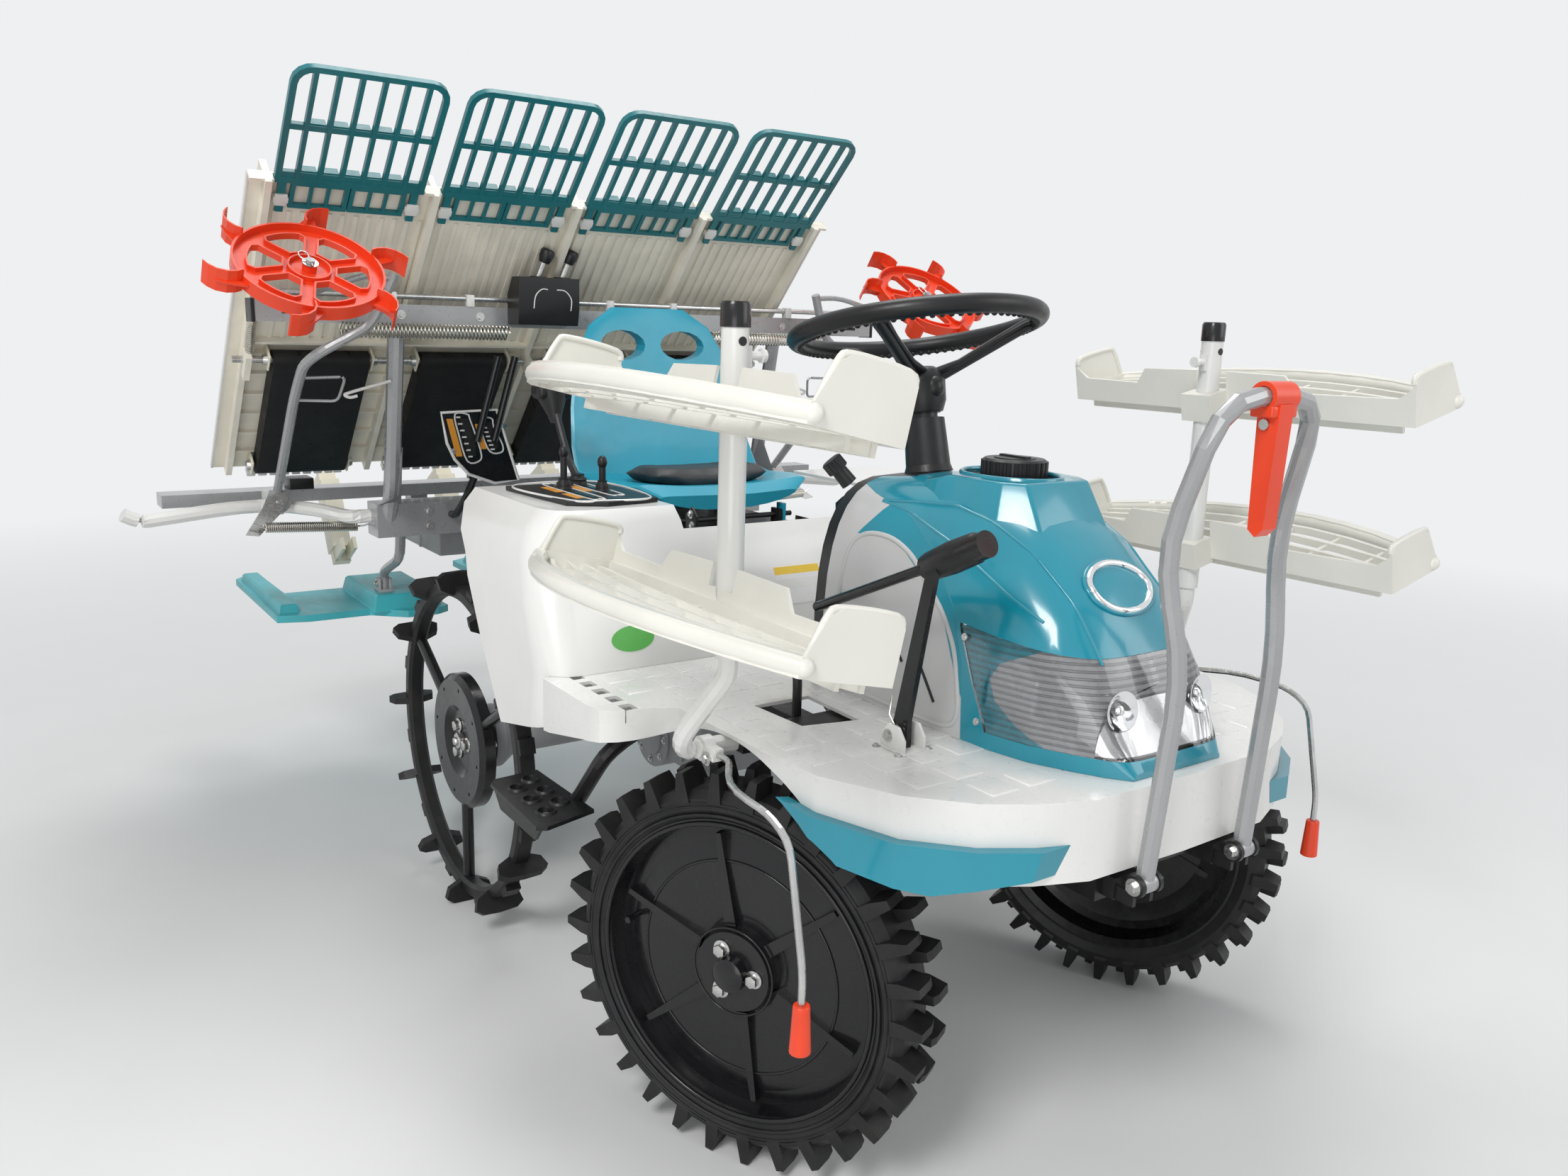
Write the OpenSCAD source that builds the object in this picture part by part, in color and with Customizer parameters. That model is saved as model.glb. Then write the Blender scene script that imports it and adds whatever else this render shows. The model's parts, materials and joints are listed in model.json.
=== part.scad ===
// Ride on rice transplanter for four rows, parked with its planting unit raised.
// X points forward, Y to the machine's left and Z up from the ground; sizes are in millimetres.

/* [Front wheels] */
// Distance from the rear axle to the steering pivots
wheelbase = 880; // [820:5:940]
// Distance from the centre line to each steering pivot
kingpin_y = 362; // [350:1:380]
// Distance from the steering pivot to the middle of the front tyre
front_offset = 50; // [49:1:56]
// Radius of the front wheel over its lugs
front_r = 281; // [270:1:281]
// Radius of the front tyre under its lugs
front_carcass_r = 254; // [248:1:262]
// Radius inside the front tyre, where it sits on its rim
front_bead_r = 216; // [205:1:222]
// Width of the front tyre over its lugs
front_w = 90; // [76:1:92]
// Pairs of lugs round the front tyre
front_lugs = 15; // [10:1:20]
// How far the front wheels are turned to the left
steer_angle = 24.9; // [0:0.1:30]
// Diameter of the spindle that carries a front wheel
spindle_d = 24; // [18:1:28]
// Diameter of the steering pivot
kingpin_d = 28; // [20:1:34]
// Gap between a turning shaft and its bore
running_gap = 0.05; // [0.02:0.01:0.1]

/* [Rear wheels] */
// Radius of the rear wheel over its paddles
rear_r = 333; // [315:1:340]
// Radius of the middle of the rear hoop
hoop_r = 294; // [280:1:300]
// Width of the rear hoop
hoop_w = 32; // [24:1:40]
// Thickness of the rear hoop
hoop_t = 26; // [20:1:32]
// Width over the paddles
paddle_w = 92; // [70:1:96]
// Number of paddles on a rear wheel
paddles = 12; // [8:1:14]
// Distance from the centre line to the middle of a rear wheel
rear_y = 470; // [466:1:480]
// Diameter of the rear hub disc
hub_disc_d = 262; // [220:1:280]
// Diameter of a rear spoke
spoke_d = 22; // [16:1:26]
// Diameter of the rear axle shaft
axle_d = 34; // [26:1:40]

/* [Deck] */
// Height of the deck's top over the ground
deck_z = 600; // [598:1:620]
// Thickness of the deck's shell
deck_t = 5; // [3:0.5:6]
// Half width of the deck beside the steps
step_y = 530; // [515:1:540]
// Half width of the deck over the front wheels
waist_y = 421; // [415:1:430]
// Front edge of the deck
deck_front = 1282; // [1270:1:1284]
// Rear edge of the steps, at the seam with the cover
seam_x = 512; // [500:1:520]
// Height of the skirt's lower edge at the front
skirt_z = 497; // [490:1:520]

/* [Hood] */
// Half width of the hood at its sides
hood_y = 170; // [160:1:178]
// Front of the hood's base
hood_front = 1262; // [1250:1:1265]
// Rear of the hood, at the dash
hood_rear = 727; // [715:1:735]
// Thickness of the hood's shell
hood_t = 4; // [3:0.5:6]
// Height of the hood over the deck at the fuel cap
hood_h = 330; // [310:1:340]
// Diameter of the fuel cap
fuel_cap_d = 96; // [80:1:104]

/* [Steering] */
// Diameter of the steering wheel over its rim
wheel_d = 400; // [380:1:420]
// Diameter of the steering wheel's rim section
wheel_rim_d = 28; // [22:1:32]
// Height of the steering wheel's centre
wheel_z = 1134; // [1120:1:1150]
// Lean of the steering axis from upright
wheel_lean = 12; // [8:1:16]

/* [Seat] */
// Width of the seat
seat_w = 430; // [400:1:450]
// Height of the pan's front lip
seat_z = 800; // [795:1:815]

/* [Seedling racks] */
// Length of a seedling rack
rack_l = 625; // [560:1:640]
// Depth of a rack at its middle
rack_depth = 214; // [190:1:230]
// Depth of a rack at its ends
rack_end_depth = 122; // [100:1:140]
// Tilt of a rack, outer edge up
rack_tilt = 13; // [8:0.5:15]
// Height of the lower racks' inner edge
lower_rack_z = 776; // [765:1:790]
// Height of the upper racks' inner edge
upper_rack_z = 1018; // [1005:1:1030]
// Diameter of a rack pole
pole_d = 34; // [30:1:36]
// Height of the top of a rack pole
pole_top = 1159; // [1140:1:1180]
// Distance from the centre line to a rack pole
pole_y = 457; // [450:1:460]

/* [Front handle] */
// Diameter of the front handle's tube
handle_d = 23; // [18:1:24]
// Height of the top of the front handle
handle_top = 1071; // [1040:1:1090]
// Half width of the front handle at its feet
handle_y = 97; // [90:1:104]

/* [Lift] */
// Length of the lower links between their pins
link_l = 345; // [335:1:347]
// Diameter of the link pins
link_pin_d = 20; // [16:1:24]
// Height between a lower and an upper link
link_rise = 130; // [120:1:140]

/* [Planting unit] */
// Distance between two planted rows
row_pitch = 300; // [296:1:300]
// How far the seedling stage stands to the right of its middle
stage_shift = 135; // [0:1:135]
// Half width of the seedling stage
stage_half_w = 625; // [610:1:630]
// Length of the stage up its slope
stage_l = 795; // [760:5:800]
// Slope of the stage
stage_slope = 46.7; // [45:0.1:48]
// Half length of the rail at the stage's foot
rail_half = 865; // [840:1:880]
// Half length of the upper beam
beam_half = 742; // [700:1:760]
// Half width over the bumper tubes
unit_half_w = 962; // [930:1:980]
// Radius of a line marker's ring
marker_ring_r = 124; // [115:1:135]
// Radius of a line marker over its paddles
marker_r = 174; // [165:1:180]
// Radius of a planting rotor over its claws
rotor_r = 150; // [130:1:155]

/* [Hidden] */

// Colours of the pieces
white = [0.93, 0.93, 0.91];
teal = [0.1, 0.56, 0.66];
deep_teal = [0.06, 0.43, 0.48];
black = [0.07, 0.07, 0.08];
rubber_black = [0.04, 0.04, 0.045];
grey = [0.62, 0.63, 0.64];
cream = [0.88, 0.85, 0.74];
red = [0.9, 0.2, 0.12];
steel = [0.72, 0.73, 0.75];

// The farthest points along X set the middle of the machine
handle_top_x = 1337;
clamp_t = 6;
float_rear = -1093;
mid_x = (handle_top_x + handle_d / 2 + clamp_t + float_rear) / 2;

// Middle of the planting rotors' shafts
rotor_x = -955;
rotor_z = 628;

// Where turning parts meet their neighbours
slip = 0.3;
front_axle_z = front_r;
knuckle_r = 38;
knuckle_top = front_axle_z + 112;
axle_end_h = 48;
rail_y = 110;
rail_w = 40;
rail_z = 450;
rail_h = 50;

seat_frame_z = 748;

module at_origin() {
  translate([-mid_x, 0, 0]) children();
}

module both_sides() {
  children();
  mirror([0, 1, 0]) children();
}

// A straight round bar between two points
module bar(from, to, d) {
  v = to - from;
  l = norm(v);
  translate(from) rotate([0, acos(v[2] / l), atan2(v[1], v[0])]) cylinder(h = l, d = d, $fn = 32);
}

// A block from its lowest to its highest corner
module block(low, high) {
  translate(low) cube(high - low);
}

function unit(v) = v / norm(v);

// Points of a route with each inner corner rounded by a short arc
function rounded_route(p, bend, steps = 3) = [
  p[0],
  for (i = [1 : len(p) - 2])
    let (a = unit(p[i - 1] - p[i]), b = unit(p[i + 1] - p[i]),
         reach = min(bend, norm(p[i - 1] - p[i]) / 2.1, norm(p[i + 1] - p[i]) / 2.1))
    for (k = [0 : steps])
      let (t = k / steps) p[i] + reach * ((1 - t) * (1 - t) * a + t * t * b),
  p[len(p) - 1]
];

// Direction of a route at each of its points
function heading(p, i) = i == 0 ? unit(p[1] - p[0])
  : i == len(p) - 1 ? unit(p[i] - p[i - 1]) : unit(unit(p[i + 1] - p[i]) + unit(p[i] - p[i - 1]));

// A closed skin over rings of points that all have the same count
module skin(rings) {
  n = len(rings[0]);
  m = len(rings);
  walls = [for (j = [0 : m - 2]) for (i = [0 : n - 1])
    let (a = j * n + i, b = j * n + (i + 1) % n) each [[a, a + n, b + n], [a, b + n, b]]];
  polyhedron([for (r = rings) each r],
    concat([[for (i = [0 : n - 1]) i]], walls, [[for (i = [n - 1 : -1 : 0]) (m - 1) * n + i]]));
}

// A bent tube along a route, kept flat to the side given by the aside vector
module pipe(route, d, bend = 40, aside = [0.13, 1, 0.21], sides = 10) {
  p = len(route) > 2 ? rounded_route(route, bend) : route;
  skin([for (i = [0 : len(p) - 1])
    let (h = heading(p, i), u = unit(cross(aside, h)), v = cross(h, u))
    [for (k = [0 : sides - 1]) p[i] + d / 2 * (cos(360 * k / sides) * u + sin(360 * k / sides) * v)]]);
}

// Outline moved inwards by d, for outlines that run anticlockwise
function inset(p, d) = [for (i = [0 : len(p) - 1])
  let (n = len(p), u = unit(p[i] - p[(i + n - 1) % n]), v = unit(p[(i + 1) % n] - p[i]),
       a = [-u[1], u[0]], b = [-v[1], v[0]]) p[i] + d * (a + b) / (1 + a * b)];

// Extrudes an outline drawn in X and Z along Y
module along_y(y0, y1) {
  translate([0, y1, 0]) rotate([90, 0, 0]) linear_extrude(y1 - y0) children();
}

// Extrudes an outline drawn in Y and Z along X
module along_x(x0, x1) {
  translate([x0, 0, 0]) rotate([90, 0, 90]) linear_extrude(x1 - x0) children();
}

// Moves a wheel to its place on the steering pivot; side is -1 on the right
module front_wheel_place(side) {
  translate([wheelbase, side * kingpin_y, front_axle_z]) rotate([0, 0, steer_angle])
    if (side < 0) mirror([0, 1, 0]) translate([0, front_offset, 0]) children();
    else translate([0, front_offset, 0]) children();
}

module rear_wheel_place(side) {
  if (side < 0) mirror([0, 1, 0]) translate([0, rear_y, rear_r]) children();
  else translate([0, rear_y, rear_r]) children();
}

// Turns a shape drawn round Z so that its axis lies along Y, outer end up
module axle_up() {
  rotate([-90, 0, 0]) children();
}

// Pieces of the chassis
deck_bar_z = 570;
deck_bar_h = 20;
pole_foot_x = 850;
module frame() {
  at_origin() color(black) {
    both_sides() {
      block([-110, rail_y - rail_w / 2, rail_z], [1255, rail_y + rail_w / 2, rail_z + rail_h]);
      block([pole_foot_x - 22, rail_y + rail_w / 2, deck_bar_z], [pole_foot_x + 22, 402,
          deck_bar_z + deck_bar_h]);
      block([pole_foot_x - 22, rail_y - 20, rail_z + rail_h], [pole_foot_x + 22, rail_y + 20,
          deck_bar_z + deck_bar_h]);
      block([1255, 74, 458], [1275, 120, 486]);
      handle_ear(handle_y - 16);
      handle_ear(handle_y + 16);
      block([40, rail_y - 18, rail_z + rail_h], [70, rail_y + 12, seat_frame_z - 8]);
      block([188 - 14, 112, seat_frame_z - 8], [188 + 14, 120, seat_pin_z + 12]);
      translate([-20, 110, seat_frame_z]) cylinder(h = 16, d = 30, $fn = 32);
      link_ear(link_y - 22, link_a, rail_z + 5);
      link_ear(link_y + 12, link_a, rail_z + 5);
      upper_ear();
    }
    block([1190, -rail_y + rail_w / 2, rail_z + 5], [1230, rail_y - rail_w / 2, rail_z + 45]);
    block([600, -rail_y + rail_w / 2, rail_z + 5], [640, rail_y - rail_w / 2, rail_z + 45]);
    block([-110, -rail_y + rail_w / 2, rail_z + 5], [-85, rail_y - rail_w / 2, rail_z + 45]);
    block([-60, -150, seat_frame_z - 8], [200, 150, seat_frame_z]);
    translate([188, 0, seat_pin_z]) rotate([90, 0, 0]) cylinder(h = 300, d = 10, center = true, $fn = 32);
  }
}

// An ear that holds the foot of the front handle
handle_pin_x = 1301;
handle_pin_z = 485;
handle_pin_d = 10;
module handle_ear(y) {
  difference() {
    union() {
      along_y(y - 3, y + 3) translate([handle_pin_x, handle_pin_z]) circle(r = 14, $fn = 40);
      block([1262, y - 3, 458], [handle_pin_x, y + 3, 476]);
    }
    translate([handle_pin_x, y, handle_pin_z]) rotate([90, 0, 0])
      cylinder(h = 10, d = handle_pin_d + 2 * running_gap, center = true, $fn = 40);
  }
}

// Pivots of the lift links on the chassis
link_a = [-143.3, 373.1];
link_b = [link_a[0], link_a[1] + link_rise];
link_y = 70;
seat_pin_z = 764;
link_angle = 141.5;
hitch_a = link_a + link_l * [cos(link_angle), sin(link_angle)];
hitch_b = hitch_a + [0, link_rise];
module link_ear(y, p, top) {
  difference() {
    block([p[0] - 20, y, p[1] - 20], [-86, y + 10, top]);
    translate([p[0], y + 5, p[1]]) rotate([90, 0, 0])
      cylinder(h = 20, d = link_pin_d + 2 * running_gap, center = true, $fn = 40);
  }
}

module upper_ear() {
  difference() {
    block([link_b[0] - 18, 16, rail_z + 8], [-86, 26, link_b[1] + 18]);
    translate([link_b[0], 21, link_b[1]]) rotate([90, 0, 0])
      cylinder(h = 20, d = link_pin_d + 2 * running_gap, center = true, $fn = 40);
  }
}

module engine_block() {
  at_origin() color(grey) block([890, -118, rail_z + rail_h], [1150, 118, 700]);
}

module transmission_case() {
  at_origin() color(grey) {
    block([-84, -89, 262], [250, 89, rail_z]);
    translate([60, 0, 300]) rotate([90, 0, 0]) cylinder(h = 190, r = 70, center = true, $fn = 48);
  }
}

module front_axle() {
  z = knuckle_top + slip + axle_end_h / 2;
  at_origin() color(grey) {
    translate([wheelbase, 0, z]) rotate([90, 0, 0])
      cylinder(h = 2 * kingpin_y, d = 46, center = true, $fn = 40);
    block([wheelbase - 60, -64, z - 42], [wheelbase + 60, 64, rail_z + 20]);
    both_sides() {
      block([wheelbase - 30, rail_y - 20, z], [wheelbase + 30, rail_y + 20, rail_z]);
      translate([wheelbase, kingpin_y, knuckle_top + slip]) cylinder(h = axle_end_h, r = 40, $fn = 48);
      translate([wheelbase, kingpin_y, knuckle_top - 60]) cylinder(h = 80, d = kingpin_d, $fn = 40);
    }
  }
}

module rear_axle() {
  case_out = rear_y - 40;
  at_origin() color(grey) both_sides() {
    translate([0, 96, rear_r]) rotate([-90, 0, 0]) cylinder(h = case_out - 148, d = 84, $fn = 40);
    translate([0, case_out - 52, rear_r]) rotate([-90, 0, 0]) cylinder(h = 30, r1 = 42, r2 = 62, $fn = 48);
    translate([0, case_out - 22, rear_r]) rotate([-90, 0, 0]) cylinder(h = 20, r = 62, $fn = 48);
    translate([0, case_out - 20, rear_r]) rotate([-90, 0, 0]) cylinder(h = 56, d = axle_d, $fn = 40);
    block([-30, 96, rear_r], [30, 128, rail_z]);
  }
}

// Half outline of the deck seen from above, front to rear along the left side
deck_half = [[deck_front, 0], [deck_front - 4, 170], [deck_front - 30, 240], [1216, 300], [1150, 362],
  [1049, 410], [960, waist_y - 3], [850, waist_y], [740, waist_y + 2], [722, waist_y + 30],
  [708, step_y - 26], [690, step_y - 6], [664, step_y], [seam_x, step_y]];
deck_rear = 400;
function mirrored(p) = [for (i = [len(p) - 1 : -1 : 0]) if (p[i][1] != 0) [p[i][0], -p[i][1]]];
deck_outline = concat(deck_half, [[seam_x, 330], [deck_rear, 330], [deck_rear, -330], [seam_x, -330]],
  mirrored(deck_half));
module deck() {
  at_origin() color(white) difference() {
    translate([0, 0, skirt_z]) linear_extrude(deck_z - skirt_z) polygon(deck_outline);
    steer_sweep();
    translate([0, 0, skirt_z - 1]) linear_extrude(deck_z - skirt_z - deck_t + 1)
        polygon(inset(deck_outline, deck_t));
    both_sides() {
      translate([wheelbase - 12, 300, front_axle_z]) rotate([-90, 0, 0]) cylinder(h = 300,
          r = deck_z - 5 - front_axle_z, $fn = 72);
      along_y(200, 600) polygon([[340, 400], [512, 517], [600, 528], [708, 545], [740, 400]]);
      along_y(340, 600) polygon([[seam_x - 200, 480], [seam_x, 515], [650, 545], [735, 558], [735, 400]]);
      for (i = [0 : 4]) translate([530 + 42 * i, 484, deck_z - 20]) linear_extrude(40) square([26, 20],
          center = true);
      translate([0, 0, deck_z - 20]) linear_extrude(40) polygon([[781, 229], [906, 232], [888, 317],
          [781, 324]]);
    }
    block([380, -325, skirt_z - 5], [seam_x - 5, 325, deck_z - deck_t]);
    translate([0, 0, deck_z - 20]) linear_extrude(40) square_from([hood_rear + 14, -132], [1190, 132]);
    block([deck_rear - 10, -320, 480], [deck_rear + 20, 320, deck_z - deck_t]);
  }
}

module square_from(low, high) {
  translate(low) square(high - low);
}

// Room that a front tyre needs as it steers from side to side
sweep_gap = 7;
function sweep_reach(z) = norm([sqrt(pow(front_r + sweep_gap, 2) - pow(z - front_axle_z, 2)),
  front_offset + front_w / 2 + sweep_gap]);
module steer_sweep() {
  both_sides() translate([wheelbase, kingpin_y, 0]) rotate_extrude($fn = 72)
    polygon(concat([[0, 440]], [for (z = [440 : 16 : 568]) [sweep_reach(z), z]], [[0, 568]]));
}

// Teal guards round the two front corners of the deck
module side_bumpers() {
  at_origin() color(teal) difference() {
    intersection() {
      translate([0, 0, 480]) linear_extrude(90) difference() {
        polygon(inset(deck_outline, -15));
        polygon(inset(deck_outline, -slip));
      }
      along_y(-600, 600) polygon([[966, 530], [1076, 500], [1190, 485], [1262, 509], [1268, 546],
        [1150, 546], [1000, 557], [966, 557]]);
      both_sides() block([960, 172, 470], [1300, 430, 600]);
    }
    steer_sweep();
  }
}

// Cross sections of the hood from rear to front
// Columns: x, half width, height over the deck, squareness
hood_sections = [
  [hood_rear, 0.985, 0.955, 3.4], [800, 1, 0.985, 3.2], [880, 1, 1, 3], [942, 1, 1, 2.9],
  [1010, 0.99, 0.945, 2.8], [1080, 0.965, 0.83, 2.8], [1147, 0.885, 0.655, 2.9],
  [1200, 0.74, 0.42, 3.2], [1236, 0.62, 0.19, 3.6], [hood_front, 0.5, 0.03, 4]];
function arch(x, w, h, p, steps = 18) = [for (i = [0 : steps]) let (a = 180 * i / steps)
  [x, w * sign(cos(a)) * pow(abs(cos(a)), 2 / p), deck_z + slip + h * pow(sin(a), 2 / p)]];
module hood_form(t) {
  skin([for (s = hood_sections) arch(s[0] - (s[0] > 1000 ? t : -t), hood_y * s[1] - t, hood_h * s[2] - t,
      s[3])]);
}

module hood_shell() {
  difference() {
    hood_form(0);
    translate([0, 0, -2]) hood_form(hood_t);
  }
}

// Outline of a side panel, in X and Z
panel_outline = [[hood_rear - 20, deck_z - 5], [1040, deck_z - 5], [1032, 700], [1000, 775], [940, 838],
  [860, 880], [hood_rear - 20, 905]];
lens_outline = [[1016, 756], [1080, deck_z + 22], [1300, deck_z + 22], [1300, 738], [1190, 738]];
module panel_region(outline) {
  along_y(-300, 300) polygon(outline);
}

module hood() {
  at_origin() color(teal) difference() {
    hood_shell();
    panel_region(panel_outline);
    panel_region(lens_outline);
    block([700, -62, 880], [806, 62, 960]);
    translate([942, 0, deck_z + hood_h - 12]) cylinder(h = 60, d = fuel_cap_d * 0.6, $fn = 48);
  }
}

module side_panels() {
  at_origin() color([0.78, 0.78, 0.78]) intersection() {
    hood_shell();
    panel_region(inset(panel_outline, slip));
    union() {
      block([600, -300, 500], [1100, -70, 950]);
      block([600, 70, 500], [1100, 300, 950]);
    }
  }
}

module lamp_lens() {
  at_origin() color([0.85, 0.88, 0.9, 0.4]) intersection() {
    hood_shell();
    panel_region(inset(lens_outline, slip));
  }
}

module lamp_body() {
  at_origin() color(grey) difference() {
    intersection() {
      translate([0, 0, -2]) hood_form(hood_t + slip);
      block([1150, -160, deck_z + 24 + slip], [1300, 160, 734]);
    }
    block([1100, -60, 500], [1175, 60, 800]);
  }
}

module caps() {
  at_origin() color(black) {
    translate([942, 0, deck_z + hood_h - 11]) cylinder(h = 34, d = fuel_cap_d * 0.58, $fn = 48);
    translate([942, 0, deck_z + hood_h + 23]) cylinder(h = 20, d = fuel_cap_d, $fn = 48);
    both_sides() translate([pole_x, pole_y, pole_top - 30]) cylinder(h = 30, d = pole_d + 3, $fn = 40);
  }
}

// The dash closes the rear of the hood and carries the steering column
module dash() {
  at_origin() color(black) difference() {
    union() {
      skin([for (s = [[hood_rear - 46, 0.84, 0.86], [hood_rear - 30, 0.95, 0.94], [hood_rear - slip,
          0.985, 0.955]])
        arch(s[0], hood_y * s[1], hood_h * s[2], 3.4)]);
      column();
      intersection() {
        hood_form(0);
        block([hood_rear - 1, -62 + slip, 885], [806 - slip, 62 - slip, 960]);
      }
    }
    on_column() translate([0, 0, -50]) cylinder(h = 60, d = 20 + 2 * running_gap, $fn = 40);
  }
}

// The steering column stands on the dash; its own frame has Z up the steering axis
rim_centre_x = 717;
column_h = 130;
module on_column() {
  translate([rim_centre_x, 0, wheel_z]) rotate([0, -wheel_lean, 0]) translate([0, 0, -column_h]) children();
}
module column() {
  on_column() {
    translate([0, 0, -150]) cylinder(h = 150, r = 21, $fn = 40);
    translate([0, 0, -90]) cylinder(h = 40, r1 = 38, r2 = 24, $fn = 40);
  }
}

// White cover round the seat, with its mudguard sides
// Columns: z, front edge, half width
cover_sections = [[478, 512, 530], [600, 536, 530], [700, 492, 527], [770, 452, 515], [810, 425, 492],
    [832, 400, 462]];
function cover_ring(z, x1, w, r, x0) = concat([[x0, -w, z]],
  [for (i = [0 : 4]) let (a = -90 + 22.5 * i) [x1 - r + r * cos(a), -w + r + r * sin(a), z]],
  [for (i = [0 : 4]) let (a = 22.5 * i) [x1 - r + r * cos(a), w - r + r * sin(a), z]], [[x0, w, z]]);
module body_cover() {
  t = 5;
  at_origin() color(white) difference() {
    skin([for (s = cover_sections) cover_ring(s[0], s[1] - 4, s[2], 60, 40)]);
    skin([for (s = cover_sections) cover_ring(s[0] - (s[0] == 478 ? 5 : 6), s[1] - 4 - t, s[2] - t, 56,
        30)]);
    along_y(-600, 600) polygon([[0, 460], [339, 460], [339, 480], [170, 736], [70, 830], [0, 880]]);
    along_y(-600, 600) polygon([[330, 400], [339, 480], [seam_x - 4, 517], [600, 520], [600, 400]]);
    block([seam_x - 4, -600, 450], [700, 600, deck_z + slip]);
    block([300, -step_y + t + 8, 450], [700, step_y - t - 8, deck_z + slip]);
    block([0, -240, 735], [430, 240, 900]);
  }
}

module control_panel() {
  at_origin() color(black) translate([0, 0, 832 + slip]) linear_extrude(8)
    polygon([[130, -430], [340, -410], [375, -350], [360, -250], [130, -250]]);
}

module control_levers() {
  at_origin() color(black) {
    pipe([[150, -300, 840.6], [150, -300, 850], [120, -300, 872], [95, -300, 905], [60, -300, 960]], 14);
    translate([54, -300, 958]) rotate([0, -20, 0]) cylinder(h = 40, r1 = 14, r2 = 30, $fn = 32);
    bar([200, -350, 840.6], [200, -350, 905], 12);
    bar([250, -300, 840.6], [250, -300, 890], 12);
  }
}

module footsteps() {
  at_origin() color(black) both_sides() {
    difference() {
      union() {
        translate([0, 0, 424]) linear_extrude(6) polygon([[450, 515], [640, 508], [664, 592], [655, 606],
            [470, 600], [455, 588]]);
        along_y(592, 597) polygon([[470, 428], [655, 428], [630, 398], [500, 398]]);
      }
      for (x = [486, 538, 590]) translate([x, 540, 400]) cylinder(h = 50, d = 24, $fn = 32);
      for (x = [510, 562, 614]) translate([x, 572, 400]) cylinder(h = 50, d = 24, $fn = 32);
    }
    pipe([[520, 520, 411.5], [575, 510, 411.5], [655, 495, 520], [655, 440, 548], [640, 300, 548], [640,
        190, 478], [640, rail_y + rail_w / 2 + slip, 478]], 24, 60);
  }
}

pole_x = 917;
foot_tube_d = 26;
foot_tube_z = 581;
module rack_poles() {
  at_origin() color(white) both_sides() {
    translate([pole_x, pole_y, 724]) cylinder(h = pole_top - 30 - 724 - slip, d = pole_d, $fn = 40);
    pipe([[pole_x, pole_y, 726], [pole_x, pole_y, 700], [870, 497, 610], [pole_foot_x, 480, foot_tube_z],
        [pole_foot_x, 402 + slip, foot_tube_z]], foot_tube_d, 30);
    translate([pole_foot_x, 440, foot_tube_z]) rotate([-90, 0, 0]) cylinder(h = 16, r = 17, $fn = 32);
    block([pole_foot_x + 8, 440, foot_tube_z - 9], [pole_foot_x + 34, 456, foot_tube_z + 7]);
  }
}

// A seedling rack in its own frame: X along it, Y outwards and Z up
function boat_y(s, d0, d1) = d0 + (d1 - d0) * (1 - s * s);
function boat(l, d0, d1, n = 10) = concat([[-l / 2, 0], [l / 2, 0]],
  [for (i = [0 : n]) let (s = 1 - 2 * i / n) [s * l / 2, boat_y(s, d0, d1)]]);
function strip(l, d0, d1, w, n = 8) = concat(
  [for (i = [0 : n]) let (s = 2 * i / n - 1) [s * l / 2, boat_y(s, d0, d1) - w / 2]],
  [for (i = [n : -1 : 0]) let (s = 2 * i / n - 1) [s * l / 2, boat_y(s, d0, d1) + w / 2]]);
module stick(a, b, w, h) {
  translate(a) rotate([0, 0, atan2(b[1] - a[1], b[0] - a[0])]) block([0, -w / 2, 0], [norm(b - a), w / 2,
      h]);
}
module rack() {
  outline = boat(rack_l, rack_end_depth, rack_depth);
  e = rack_l / 2;
  p = pole_x - rack_x;
  truss_n = 10;
  difference() {
    union() {
      difference() {
        linear_extrude(22) polygon(outline);
        translate([0, 0, -1]) linear_extrude(24) polygon(inset(outline, 14));
      }
      for (k = [0.22, 0.42, 0.62, 0.81]) linear_extrude(13) polygon(strip(rack_l - 12,
          k * rack_end_depth, k * rack_depth, 7));
      for (x = [-225 : 90 : 225]) block([x - 3, 6, 2], [x + 3, rack_depth - 50, 9]);
      for (x = [-e, e - 5]) along_x(x, x + 5)
        polygon([[0, 3], [0, 62], [10, 74], [84, 74], [100, 64], [rack_end_depth - 2, 20],
            [rack_end_depth - 2, 3]]);
      along_y(0, 5) polygon([[-e, 3], [-e, 60], [-e + 26, 40], [p - 150, 38], [p - 132, 64], [p - 28,
          66], [p - 28, 3]]);
      along_y(0, 5) polygon([[p + 28, 3], [p + 28, 66], [p + 132, 64], [p + 152, 38], [e - 26, 40], [e,
          60], [e, 3]]);
      block([p - 28, -42, -8], [p + 28, 5, 36]);
      for (i = [0 : truss_n - 1]) let (x = i * (rack_l - 60) / truss_n - e + 30, y = i % 2 * 30)
        stick([x, 18 + y, -14], [x + (rack_l - 60) / truss_n, 48 - y, -14], 5, 16);
      for (y = [16, 50]) block([-e + 26, y - 3, -14], [e - 26, y + 3, 3]);
    }
    for (x = [-232, -210]) translate([x, rack_depth - 75, 0]) rotate([0, 0, 14]) block([-6, 0, 12], [6,
        40, 30]);
  }
}

rack_x = 942;
rack_y = 474.5;
module rack_pair(z) {
  both_sides() difference() {
    translate([rack_x, rack_y, z]) rotate([rack_tilt, 0, 0]) rack();
    translate([pole_x, pole_y, z - 50]) cylinder(h = 200, d = pole_d + 2 * slip, $fn = 40);
  }
}

module upper_racks() {
  at_origin() color(cream) rack_pair(upper_rack_z);
}

module lower_racks() {
  at_origin() color(cream) rack_pair(lower_rack_z);
}

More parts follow.
